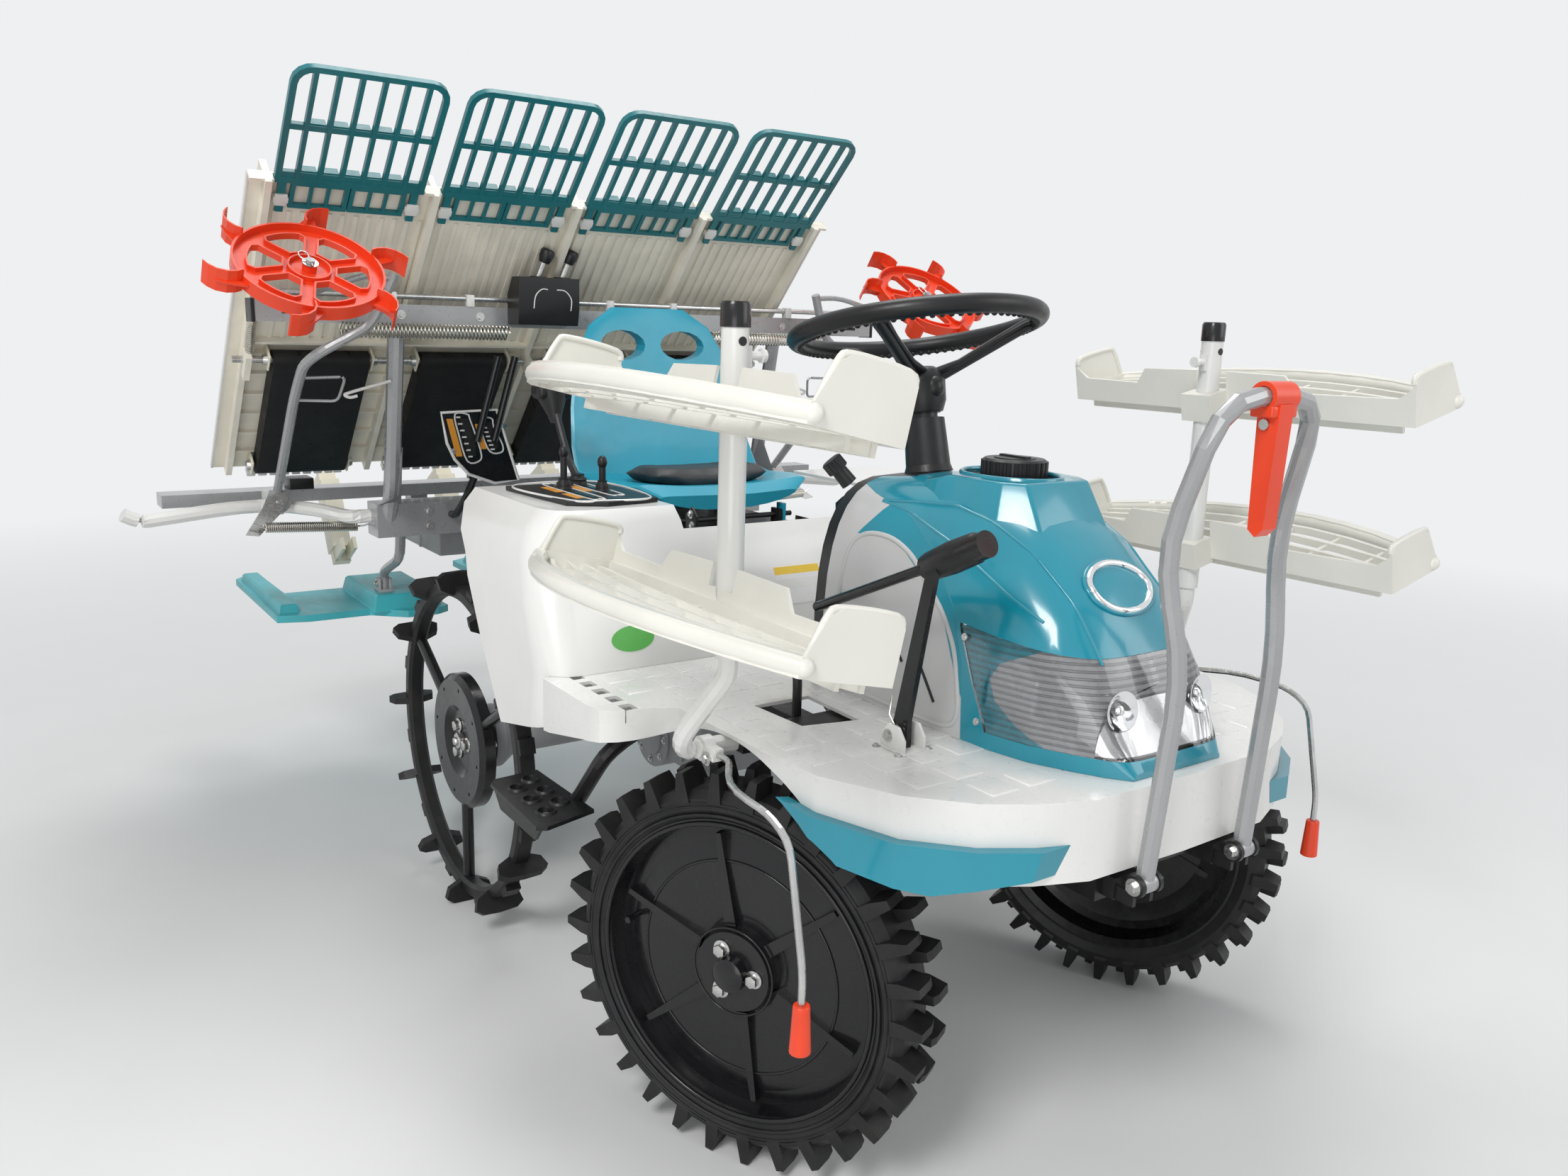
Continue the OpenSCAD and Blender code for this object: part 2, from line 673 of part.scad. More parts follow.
module marker_rods() {
  at_origin() color(steel) both_sides()
    pipe([[pole_foot_x + 34 + slip, 448, foot_tube_z], [910, 448, foot_tube_z], [1000, 506, 588], [1090,
        506, 585], [1130, 506, 566], [rod_grip_x, 506, 420], [rod_grip_x, 506, 383 + slip]], 9, 50,
            sides = 8);
}

rod_grip_x = 1163;
module rod_grips() {
  at_origin() color(red) both_sides() translate([rod_grip_x, 506, 323]) cylinder(h = 60, r1 = 13,
      r2 = 10, $fn = 32);
}

module foot_pedals() {
  at_origin() color(black) both_sides() {
    pipe([[803, 265, rail_z + 46], [803, 265, 640], [790, 265, 675]], 14);
    block([752, 235, 670], [806, 295, 678]);
    block([795, rail_y + rail_w / 2 + slip, rail_z + 34], [811, 272, rail_z + 48]);
  }
}

module hand_lever() {
  at_origin() color(black) {
    difference() {
      along_y(-256, -248) polygon([[998, 600.3], [1034, 600.3], [1034, 640], [1072, 850], [1056, 854],
          [1008, 640]]);
      translate([1016, -252, 618]) rotate([90, 0, 0]) cylinder(h = 20, d = 8, center = true, $fn = 32);
    }
    bar([810, -240, 742], [1040, -240, 842], 14);
    bar([1038, -240, 841], [1140, -240, 888], 34);
    bar([1060, -250, 850], [1060, -238, 850], 12);
    bar([812, -242, 743], [780, -172, 743], 14);
  }
}

module knuckle(side) {
  translate([wheelbase, side * kingpin_y, 0]) difference() {
    union() {
      translate([0, 0, front_axle_z - 46]) cylinder(h = knuckle_top - front_axle_z + 46, r = knuckle_r,
          $fn = 48);
      rotate([0, 0, side < 0 ? steer_angle + 180 : steer_angle]) translate([0, 0, front_axle_z]) axle_up() {
        cylinder(h = front_offset - 2, r = 34, $fn = 48);
        cylinder(h = front_offset + 30, d = spindle_d, $fn = 40);
      }
    }
    translate([0, 0, knuckle_top - 62]) cylinder(h = 80, d = kingpin_d + 2 * running_gap, $fn = 40);
  }
}

module knuckle_right() {
  at_origin() color(grey) knuckle(-1);
}

module knuckle_left() {
  at_origin() color(grey) knuckle(1);
}

// Pressed rim of a front wheel, with its axis along Z and its outer side up
module front_rim() {
  r = front_bead_r - slip;
  difference() {
    rotate_extrude($fn = 96) polygon([[0, 2], [52, 2], [60, 8], [90, 12], [150, 14], [180, 8], [r - 22,
        4], [r - 18, -34], [r - 4, -38],
      [r, -38], [r, 38], [r - 4, 38], [r - 8, 30], [r - 14, 12], [180, 14], [150, 20], [90, 18], [64,
          16], [56, 34], [0, 34]]);
    translate([0, 0, -1]) cylinder(h = 32, d = spindle_d + 2 * running_gap, $fn = 40);
  }
  for (i = [0 : 5]) rotate([0, 0, 60 * i + 20]) translate([0, 0, 10])
    linear_extrude(16) polygon([[62, -9], [r - 24, -4], [r - 24, 4], [62, 9]]);
}

// Tyre of a front wheel with its two staggered rows of lugs
module front_tyre() {
  w = front_w / 2;
  rotate_extrude($fn = 96) polygon([[front_bead_r, -w + 8], [front_bead_r + 14, -w + 1],
      [front_carcass_r - 10, -w + 3],
    [front_carcass_r, -w + 14], [front_carcass_r, w - 14], [front_carcass_r - 10, w - 3],
    [front_bead_r + 14, w - 1], [front_bead_r, w - 8]]);
  for (i = [0 : 2 * front_lugs - 1]) for (s = [0, 1])
    rotate([0, 0, 180 * i / front_lugs + 90 * s / front_lugs]) mirror([0, 0, s]) tyre_lug();
}

// One lug, leaning back from the middle of the tread to its shoulder
module tyre_lug() {
  w = front_w / 2;
  intersection() {
    translate([0, 8, 0]) rotate([90, 0, 0]) linear_extrude(24)
      polygon([[front_carcass_r - 3, 0], [front_r - 3, 0], [front_r, 12], [front_r - 1, w - 4],
          [front_carcass_r - 14, w], [front_carcass_r - 22, w - 3]]);
    linear_extrude(w + 1) polygon([[front_carcass_r - 24, -14], [front_carcass_r, -13], [front_r + 1,
        -6], [front_r + 1, 5], [front_carcass_r - 24, 7]]);
  }
}

module front_rim_right() {
  at_origin() color(black) front_wheel_place(-1) axle_up() front_rim();
}

module front_rim_left() {
  at_origin() color(black) front_wheel_place(1) axle_up() front_rim();
}

module front_tyre_right() {
  at_origin() color(rubber_black) front_wheel_place(-1) axle_up() front_tyre();
}

module front_tyre_left() {
  at_origin() color(rubber_black) front_wheel_place(1) axle_up() front_tyre();
}

// Hub disc and spokes of a rear wheel, with its axis along Z and its outer side up
spoke_angles = [90, 210, 330];
module rear_hub() {
  r = hub_disc_d / 2;
  difference() {
    union() {
      rotate_extrude($fn = 96) polygon([[0, -4], [60, -4], [66, 8], [r - 14, 10], [r - 4, -12], [r, -12],
          [r, 8], [r - 10, 17],
        [70, 15], [58, 4], [0, 4]]);
      translate([0, 0, -26]) cylinder(h = 26, r = 34, $fn = 48);
      for (a = spoke_angles) rotate([0, 0, a]) translate([r - 20, 0, -2]) rotate([0, 90, 0])
        cylinder(h = hoop_r - hoop_t / 2 + 4 - r + 20, d = spoke_d, $fn = 32);
    }
    translate([0, 0, -27]) cylinder(h = 24, d = axle_d + 2 * running_gap, $fn = 40);
    for (i = [0 : 7]) rotate([0, 0, 45 * i + 10]) translate([r - 24, 0, 0]) cylinder(h = 40, d = 7,
        center = true, $fn = 24);
  }
}

// Rubber hoop of a rear wheel with its paddles
module rear_tyre() {
  a = hoop_r - hoop_t / 2;
  b = hoop_r + hoop_t / 2;
  w = hoop_w / 2;
  difference() {
    union() {
      rotate_extrude($fn = 96) polygon([[a, -w + 6], [a + 6, -w], [b - 4, -w], [b, -w + 4], [b, w - 4],
          [b - 4, w], [a + 6, w], [a, w - 6]]);
      for (i = [0 : paddles - 1]) rotate([0, 0, 360 * i / paddles]) paddle();
      for (i = [0 : paddles - 1]) rotate([0, 0, 360 * (i + 0.5) / paddles]) translate([b - 4, -14,
          -14]) cube([14, 28, 28]);
    }
    for (s = spoke_angles) rotate([0, 0, s]) translate([a - 10, 0, -2]) rotate([0, 90,
        0]) cylinder(h = 14.3, d = spoke_d + 0.1, $fn = 32);
  }
}

module paddle() {
  w = paddle_w / 2;
  translate([0, 7, 0]) rotate([90, 0, 0]) linear_extrude(14)
    polygon([[hoop_r - 8, -12], [hoop_r + 6, -w + 6], [rear_r - 12, -w], [rear_r - 2, -w + 14], [rear_r, 0],
      [rear_r - 2, w - 14], [rear_r - 12, w], [hoop_r + 6, w - 6], [hoop_r - 8, 12]]);
}

module rear_hub_right() {
  at_origin() color(black) rear_wheel_place(-1) axle_up() rear_hub();
}

module rear_hub_left() {
  at_origin() color(black) rear_wheel_place(1) axle_up() rear_hub();
}

module rear_tyre_right() {
  at_origin() color(rubber_black) rear_wheel_place(-1) axle_up() rear_tyre();
}

module rear_tyre_left() {
  at_origin() color(rubber_black) rear_wheel_place(1) axle_up() rear_tyre();
}

module steering_wheel() {
  r = wheel_d / 2 - wheel_rim_d / 2;
  at_origin() color(black) on_column() {
    translate([0, 0, column_h]) rotate_extrude($fn = 72) translate([r, 0]) circle(d = wheel_rim_d,
        $fn = 20);
    translate([0, 0, slip]) cylinder(h = 62, r1 = 26, r2 = 22, $fn = 40);
    translate([0, 0, -40]) cylinder(h = 60, d = 20, $fn = 40);
    for (a = [60, 180, 300]) rotate([0, 0, a]) bar([10, 0, 46], [r, 0, column_h - 2], 17);
  }
}

// Feet of the front handle turn on a pin in the frame's ears
module front_handle() {
  at_origin() color(grey) {
    pipe([[handle_pin_x, -handle_y, handle_pin_z + 8], [1318, -92, 760], [1289, -110, 888],
      [handle_top_x, -90, handle_top], [handle_top_x, 90, handle_top], [1289, 110, 888], [1318, 92, 760],
      [handle_pin_x, handle_y, handle_pin_z + 8]], handle_d, 60, [0.9, 0.1, 0.4]);
    both_sides() translate([handle_pin_x, handle_y, handle_pin_z]) rotate([90, 0, 0]) {
      cylinder(h = 25, r = 12, center = true, $fn = 40);
      cylinder(h = 40, d = handle_pin_d, center = true, $fn = 40);
    }
  }
}

module brake_lever() {
  at_origin() color(red) difference() {
    union() {
      translate([handle_top_x, 0, handle_top]) rotate([90, 0, 0]) cylinder(h = 46,
          r = handle_d / 2 + clamp_t, center = true, $fn = 40);
      along_y(-13, 13) polygon([[handle_top_x - 12, handle_top - 8], [handle_top_x - 8,
          handle_top - 152], [handle_top_x + 2, handle_top - 160],
        [handle_top_x + 12, handle_top - 150], [handle_top_x + 17, handle_top - 8]]);
    }
    translate([handle_top_x, 0, handle_top]) rotate([90, 0, 0]) cylinder(h = 60, r = handle_d / 2 + slip,
        center = true, $fn = 40);
  }
}

// Seat, drawn along the curve of its pan and back
// Columns: x, z, half width, half thickness, lean of the section
seat_stations = [[198, -4, 0.72, 14, 10], [176, 4, 0.9, 22, 0], [110, -4, 1, 24, -4], [20, -10, 1, 24,
    0], [-50, 2, 1, 25, 25],
  [-96, 70, 0.98, 24, 68], [-116, 150, 0.94, 21, 76], [-130, 240, 0.86, 20, 80], [-142, 320, 0.66, 18,
      82], [-146, 358, 0.4, 10, 82]];
seat_dish = 34;
module seat_form(stations, grow, dish) {
  skin([for (i = [len(stations) - 1 : -1 : 0]) let (s = stations[i], w = s[2] * seat_w / 2 + grow)
    [for (k = [0 : 23]) let (a = 15 * k, c = cos(a), y = w * sign(c) * pow(abs(c), 0.8),
        h = (s[3] + grow) * sin(a) + dish * pow(abs(y) / (seat_w / 2), 2.4))
      [s[0] + h * sin(s[4]), y, seat_z + s[1] + h * cos(s[4])]]]);
}

module seat_shell() {
  at_origin() color(teal) {
    both_sides() difference() {
      block([188 - 12, 124, seat_pin_z - 12], [188 + 10, 132, seat_z - 14]);
      translate([188, 128, seat_pin_z]) rotate([90, 0, 0]) cylinder(h = 20, d = 10 + 2 * running_gap,
          center = true, $fn = 32);
    }
    difference() {
      seat_form(seat_stations, 0, seat_dish);
      for (s = [-1, 1]) translate([-200, 70 * s, seat_z + 284]) rotate([0, 90, 0]) linear_extrude(200)
        polygon([for (k = [0 : 15]) [30 * cos(22.5 * k), 52 * sin(22.5 * k)]]);
    }
  }
}

module seat_cushion() {
  at_origin() color([0.15, 0.15, 0.16]) skin([for (s = [[-14, 26, 0.5], [-4, 24, 0.62], [40, 24, 0.74],
      [138, 31, 0.66], [150, 30, 0.56]])
    [for (k = [0 : 15]) let (a = 22.5 * k, y = s[2] * seat_w / 2 * cos(a))
      [s[0], y, seat_z + s[1] + 6 + 9 * sin(a) + seat_dish * pow(abs(y) / (seat_w / 2), 2.4)]]]);
}

// Lift linkage between the chassis and the planting unit
module link(a, b, y, w) {
  d = link_pin_d;
  difference() {
    union() {
      bar([a[0], y, a[1]], [b[0], y, b[1]], w * 1.6);
      for (p = [a, b]) translate([p[0], y, p[1]]) rotate([90, 0, 0]) cylinder(h = w + 10, r = d / 2 + 8,
          center = true, $fn = 40);
    }
    translate([b[0], y, b[1]]) rotate([90, 0, 0]) cylinder(h = w + 30, d = d + 2 * running_gap,
        center = true, $fn = 40);
  }
  translate([a[0], y, a[1]]) rotate([90, 0, 0]) cylinder(h = w + 32, d = d, center = true, $fn = 40);
}

module lower_links() {
  at_origin() color(black) both_sides() {
    link(link_a, hitch_a, link_y, 12);
  }
}

module upper_link() {
  at_origin() color(black) {
    link(link_b, hitch_b, 0, 20);
  }
}

// Frame of the planting unit: cross beam, posts, upper beam and rail
cross_x = -470;
cross_z = 695;
rail_x = -765;
rail_foot_z = 718;
beam_x = -335;
beam_z = 1131;
module planting_frame() {
  at_origin() color(grey) {
    block([cross_x - 36, -492, cross_z - 36], [cross_x + 36, 492, cross_z + 36]);
    both_sides() {
      pipe([[cross_x + 20, 464, cross_z], [-420, 464, 760], [beam_x - 8, 464, beam_z]], 34, 60);
      hitch_ear(link_y - 22, hitch_a);
      hitch_ear(link_y + 12, hitch_a);
      translate([hitch_a[0], link_y, hitch_a[1]]) rotate([90, 0, 0]) cylinder(h = 44, d = link_pin_d,
          center = true, $fn = 40);
      hitch_ear(16, hitch_b);
      block([rail_x - 22, row_pitch - 20, rotor_z + 34 + slip], [rail_x + 22, row_pitch + 20, rail_foot_z]);
      pipe([[-480, 430, cross_z - 30], [-490, 430, 600], [-600, 430, 555], [-620, 430, 540], [-620, 430,
          float_top + slip]], 22, 40);
      pipe([[-480, 60, cross_z - 30], [-490, 60, 600], [-550, 60, 555], [-570, 60, 540], [-570, 60,
          float_top + slip]], 22, 40);
    }
    translate([hitch_b[0], 0, hitch_b[1]]) rotate([90, 0, 0]) cylinder(h = 52, d = link_pin_d,
        center = true, $fn = 40);
    block([beam_x - 22, -beam_half, beam_z - 20], [beam_x + 22, beam_half, beam_z + 20]);
    block([rail_x - 35, -rail_half, rail_foot_z - 14], [rail_x + 35, rail_half, rail_foot_z + 14]);
  }
}

// A bracket plate that takes a link's end pin
module hitch_ear(y, p) {
  block([cross_x + 34, y, p[1] - 22], [p[0] + 20, y + 10, p[1] + 22]);
  block([cross_x, y, p[1] - 22], [cross_x + 40, y + 10, max(p[1] + 22, cross_z)]);
}

module planting_cases() {
  at_origin() color(cream) both_sides() difference() {
    union() {
      block([rotor_x, row_pitch - 34, rotor_z - 34], [cross_x - 36 - slip, row_pitch + 34, rotor_z + 34]);
      translate([rotor_x, row_pitch, rotor_z]) rotate([90, 0, 0]) cylinder(h = 68, r = 34, center = true,
          $fn = 48);
    }
    translate([rotor_x, row_pitch, rotor_z]) rotate([90, 0, 0]) cylinder(h = 80,
        d = 24 + 2 * running_gap, center = true, $fn = 40);
  }
}

module bumper_tubes() {
  at_origin() color(white) both_sides() {
    pipe([[-490, 492 + slip, 700], [-490, 535, 700], [-580, 570, 704], [-665, 640, 708], [-665, 730,
        708], [-655, unit_half_w - 43, 690], [-650, unit_half_w - 12, 708]], 30, 40);
    translate([-665, marker_pivot[1], 725]) rotate([0, 90, 0]) cylinder(h = 62, d = 12, $fn = 32);
    block([-685, marker_pivot[1] - 18, 690], [-645, marker_pivot[1] + 18, 742]);
  }
}

float_top = 500;
float_low = 450;
module float_block(x0, x1, y0, y1, z1, slant) {
  skin([for (s = [[float_low + 12, 0], [float_low + 20, 3], [z1 - 4, slant - 3], [z1, slant + 2]])
    [[x0 + s[1], y0 + s[1], s[0]], [x1 - s[1], y0 + s[1], s[0]], [x1 - s[1], y1 - s[1], s[0]],
        [x0 + s[1], y1 - s[1], s[0]]]]);
}
module floats() {
  at_origin() color(teal) {
    both_sides() {
      translate([0, 0, float_low]) linear_extrude(16)
        polygon([[-850, 306], [-560, 300], [-540, 330], [-540, 400], [-600, 470], [-600, 604], [-620, 668],
          [-1064, 668], [-1086, 650], [-1086, 622], [-1060, 604], [-850, 600]]);
      float_block(-840, -566, 312, 470, float_top, 12);
      float_block(-1050, -640, 612, 660, float_top - 16, 8);
    }
    translate([0, 0, float_low]) linear_extrude(16)
      polygon([[float_rear + 30, -108], [-470, -108], [-428, -80], [-415, 0], [-428, 80], [-470, 108],
          [float_rear + 30, 108], [float_rear, 60], [float_rear, -60]]);
    float_block(-1040, -500, -90, 90, float_top, 14);
  }
}

module springs() {
  at_origin() color(steel) both_sides() {
    translate([-290, 250, 1100]) rotate([-90, 0, 0]) cylinder(h = 340, d = 28, $fn = 32);
    for (y = [254, 582]) block([beam_x + 22 + slip, y, 1112], [-286, y + 4, 1120]);
  }
}

module notch_plate() {
  at_origin() color(black) {
    along_x(-352, -348) polygon([[-377, 932], [-366, 868], [-350, 833], [-320, 800], [-262, 778], [-207,
        783], [-255, 937]]);
    for (y = [-300, -262]) bar([-346, y, 870], [-330, y + 45, 1050], 16);
    pipe([[cross_x + 36 + slip, -330, 702], [-410, -330, 702], [-375, -320, 740], [-358, -300, 800]], 16,
        40);
    block([-366, -318, 790], [-351, -282, 850]);
  }
}

module clutch_box() {
  at_origin() color(black) along_y(-240, -104)
    polygon([[beam_x + 22 + slip, 1118], [-258, 1118], [-250, 1150], [-250, 1215], [-286, 1215],
        [beam_x + 22 + slip, 1180]]);
}

// The stage slides across on the rail and the upper beam; its own frame has X up the slope
stage_foot = [-722, 772];
module on_stage() {
  translate([stage_foot[0], -stage_shift, stage_foot[1]]) rotate([0, -stage_slope, 0]) children();
}

module stage() {
  at_origin() color(cream) on_stage() difference() {
    union() {
      block([0, -stage_half_w, 24], [stage_l, stage_half_w, 28]);
      for (y = [-2 : 1 : 2]) block([0, divider_y(y) - 6, 0], [stage_l, divider_y(y) + 6, 60]);
      for (y = [-2, 2]) block([330, divider_y(y) - 6, -30], [392, divider_y(y) + 6, 4]);
      for (y = [-1 : 1 : 1]) block([350, divider_y(y) - 6, -26], [384, divider_y(y) + 6, 4]);
      for (x = [60 : 60 : 360]) block([x, -stage_half_w + 30, 14], [x + 4, stage_half_w - 30, 25]);
      block([396, -stage_half_w + 30, 6], [402, stage_half_w - 30, 25]);
      for (y = [-572 : 24 : 572]) block([402, y - 4, 20], [stage_l - 78, y + 4, 25]);
      block([stage_l - 6, -stage_half_w, 6], [stage_l, stage_half_w, 28]);
    }
    translate([shaft_up, 0, shaft_down]) rotate([90, 0, 0])
      cylinder(h = 2 * stage_half_w + 40, d = shaft_d + 2 * slip, center = true, $fn = 32);
    for (i = [-1.5 : 1 : 1.5]) block([stage_l - 12, i * row_pitch - 134, 5], [stage_l + 2,
        i * row_pitch + 134, 24]);
  }
}
function divider_y(y) = y * row_pitch - 6 * sign(y);

module belts() {
  at_origin() color(black) on_stage() for (i = [-1.5 : 1 : 1.5]) difference() {
    union() {
      block([40, i * row_pitch - 95, -26], [shaft_up, i * row_pitch + 95, 14 - slip]);
      for (x = [40, shaft_up]) translate([x, i * row_pitch, shaft_down]) rotate([90, 0, 0])
        cylinder(h = 190, r = 20 - slip / 2, center = true, $fn = 40);
    }
    translate([shaft_up, i * row_pitch, shaft_down]) rotate([90, 0, 0])
      cylinder(h = 200, d = shaft_d + 2 * slip, center = true, $fn = 32);
  }
}

// Shaft that carries the upper ends of the belts
shaft_up = 366;
shaft_down = -6;
shaft_d = 14;
module belt_shaft() {
  at_origin() color(steel) on_stage() translate([shaft_up, 0, shaft_down]) rotate([90, 0, 0])
    cylinder(h = 2 * stage_half_w - 10, d = shaft_d, center = true, $fn = 32);
}

// Racks that lengthen the stage upwards, one for each row
extension_drop = 4.1;
module extension_racks() {
  at_origin() color(deep_teal) on_stage() for (i = [-1.5 : 1 : 1.5]) translate([stage_l, i * row_pitch,
      0]) {
    translate([0, 0, 11.2]) rotate([0, extension_drop, 0]) extension_rack();
    for (s = [-118, 118]) block([-74, s - 7, 13], [4, s + 7, 20]);
  }
}
function rounded_frame(x0, x1, w, r) = concat([[x0, w], [x0, -w]],
  [for (i = [0 : 4]) let (a = 22.5 * i - 90) [x1 - r + r * cos(a), -w + r + r * sin(a)]],
  [for (i = [0 : 4]) let (a = 22.5 * i) [x1 - r + r * cos(a), w - r + r * sin(a)]]);
module extension_rack() {
  linear_extrude(10) difference() {
    polygon(rounded_frame(-9, 238, 133, 36));
    polygon(rounded_frame(4, 227, 122, 26));
  }
  for (k = [-2.5 : 1 : 2.5]) block([2, 38 * k - 4, 0], [230, 38 * k + 4, 10]);
  for (x = [4, 108]) block([x, -126, 1], [x + 12, 126, 9]);
  for (x = [4, 108]) for (k = [-2 : 1 : 2]) block([x - 2, 38 * k - 13, 4], [x + 14, 38 * k + 13, 18]);
  for (s = [-52, 52]) {
    difference() {
      block([-66, s - 51, 0], [-6, s + 51, 8]);
      block([-58, s - 43, -1], [-14, s + 43, 9]);
    }
    for (y = [s - 15, s + 15]) block([-60, y - 3, 0.5], [-10, y + 3, 7.5]);
  }
}

// Line marker arms, folded up against the stage
marker_pivot = [-610, 653, 725];
disc_centre = [-55, 698, 1208];
disc_normal = unit([0.72, -0.018, 1]);
axle_back = 60;
module marker_arm() {
  color(grey) {
    difference() {
      translate(marker_pivot) rotate([0, 90, 0]) cylinder(h = 8, r = 26, center = true, $fn = 40);
      translate(marker_pivot) rotate([0, 90, 0]) cylinder(h = 20, d = 12 + 2 * running_gap,
          center = true, $fn = 32);
    }
    pipe([marker_pivot + [0, 0, 22], [-380, 660, 966], [-310, 657, 1030], [-275, 640, 1052],
      [-248, 548, 1107], [-243, 533, 1130], [-230, 501, 1206]], 20, 50);
    pipe([[-232, 505, 1198], [-215, 558, 1202], [-170, 654, 1170],
        disc_centre - axle_back * disc_normal], 12, 30);
    pipe([[-338, 657, 1004], [-345, 569, 1006], [-362, 582, 957], [-388, 660, 958]], 6, 12);
    bar(disc_centre - axle_back * disc_normal, disc_centre + 12 * disc_normal, 14);
  }
}

module marker_arm_left() {
  at_origin() marker_arm();
}

module marker_arm_right() {
  at_origin() mirror([0, 1, 0]) marker_arm();
}

module disc_place() {
  n = disc_normal;
  translate(disc_centre) rotate([0, acos(n[2]), atan2(n[1], n[0])]) children();
}

// One of the six openings between the spokes
spoke_half_w = 12;
function spoke_edge(r) = 30 - asin(spoke_half_w / r);
function polar(r, a) = [r * cos(a), r * sin(a)];
function petal(r0, r1) = concat([for (i = [-3 : 3]) polar(r1, i / 3 * (spoke_edge(r1) - 5))],
  [for (r = [r1 - 8, r0]) polar(r, spoke_edge(r))], [for (r = [r0, r1 - 8]) polar(r, -spoke_edge(r))]);
module marker_disc() {
  opening = petal(46, marker_ring_r - 26);
  difference() {
    union() {
      translate([0, 0, -14]) linear_extrude(4) difference() {
        circle(r = marker_ring_r - 1, $fn = 72);
        for (k = [0 : 5]) rotate(60 * k + 46) polygon(opening);
      }
      translate([0, 0, -13]) linear_extrude(11) for (k = [0 : 5]) rotate(60 * k + 46) difference() {
        polygon(inset(opening, -3));
        polygon(inset(opening, 0.2));
      }
      rotate_extrude($fn = 72) polygon([[marker_ring_r - 4, -22], [marker_ring_r, -22], [marker_ring_r,
          3], [marker_ring_r - 4, 3]]);
      translate([0, 0, -13]) difference() {
        cylinder(h = 12, r = 36, $fn = 48);
        translate([0, 0, 4]) cylinder(h = 12, r = 33, $fn = 48);
      }
      translate([0, 0, -30]) cylinder(h = 34, r = 12, $fn = 40);
      for (k = [0 : 5]) rotate(60 * k + 16) {
        translate([0, 0, -28]) linear_extrude(42) polygon([for (p = concat(scoop, mirrored_back(scoop,
            3))) p + [marker_ring_r, 0]]);
        translate([0, 0, -10]) linear_extrude(4) polygon([[marker_ring_r - 3, -30], [marker_ring_r + 26,
            -15], [marker_ring_r + 40, -4], [marker_ring_r + 30, 4], [marker_ring_r - 3, 8]]);
      }
    }
    translate([0, 0, -40]) cylinder(h = 60, d = 14 + 2 * running_gap, $fn = 32);
  }
}

// Line of a paddle, from the ring outwards, and the same line a wall further in
scoop = [for (p = [[-0.06, -12], [0.2, -15], [0.48, -13], [0.76, -4], [0.92, 9], [0.98, 22]])
  [p[0] * (marker_r - marker_ring_r), p[1]]];
function mirrored_back(p, w) = [for (i = [len(p) - 1 : -1 : 0]) p[i] + w * [-0.35, 0.94]];

module marker_disc_left() {
  at_origin() color(red) disc_place() marker_disc();
}

module marker_disc_right() {
  at_origin() color(red) mirror([0, 1, 0]) disc_place() marker_disc();
}

// Planting rotors turn on the planting cases, one pair of arms for each row
module rotor() {
  for (s = [-1, 1]) translate([rotor_x, row_pitch + s * (row_pitch / 2), rotor_z]) {
    rotate([0, 60, 0]) block([-90, -22, -30], [90, 22, 30]);
    for (a = [60, 240]) rotate([0, a, 0]) {
      block([60, -20, -14], [rotor_r - 26, 20, 10]);
      for (y = [-18, 10]) block([rotor_r - 60, y, 0], [rotor_r - 30, y + 8, 90]);
    }
  }
  translate([rotor_x, row_pitch, rotor_z]) rotate([90, 0, 0]) cylinder(h = row_pitch - 40, d = 24,
      center = true, $fn = 32);
}

module rotor_left() {
  at_origin() color(cream) rotor();
}

module rotor_right() {
  at_origin() color(cream) mirror([0, 1, 0]) rotor();
}

frame();
engine_block();
transmission_case();
front_axle();
rear_axle();
deck();
side_bumpers();
hood();
side_panels();
lamp_lens();
lamp_body();
caps();
dash();
body_cover();
control_panel();
control_levers();
footsteps();
rack_poles();
upper_racks();
lower_racks();
marker_rods();
rod_grips();
foot_pedals();
hand_lever();
knuckle_right();
knuckle_left();
front_rim_right();
front_rim_left();
front_tyre_right();
front_tyre_left();
rear_hub_right();
rear_hub_left();
rear_tyre_right();
rear_tyre_left();
steering_wheel();
front_handle();
brake_lever();
seat_shell();
seat_cushion();
lower_links();
upper_link();
planting_frame();
planting_cases();
bumper_tubes();
floats();
springs();
notch_plate();
clutch_box();
stage();
belts();
belt_shaft();
extension_racks();
marker_arm_right();
marker_arm_left();
marker_disc_right();
marker_disc_left();
rotor_right();
rotor_left();
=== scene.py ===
"""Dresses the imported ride-on rice transplanter and lights it for its picture.

The CAD nodes keep their shapes and get their finishes here. Small forms that the
solids leave plain, such as bolts, coils, grips and the seat pad, are added as
pieces that ride on the same bodies. Lengths are in metres in the CAD's frame.
"""
import json
import logging
import math
from dataclasses import dataclass, field
from enum import Enum
from typing import Iterable, Optional, Sequence

import bmesh
import bpy
from mathutils import Matrix, Vector
from mathutils.bvhtree import BVHTree

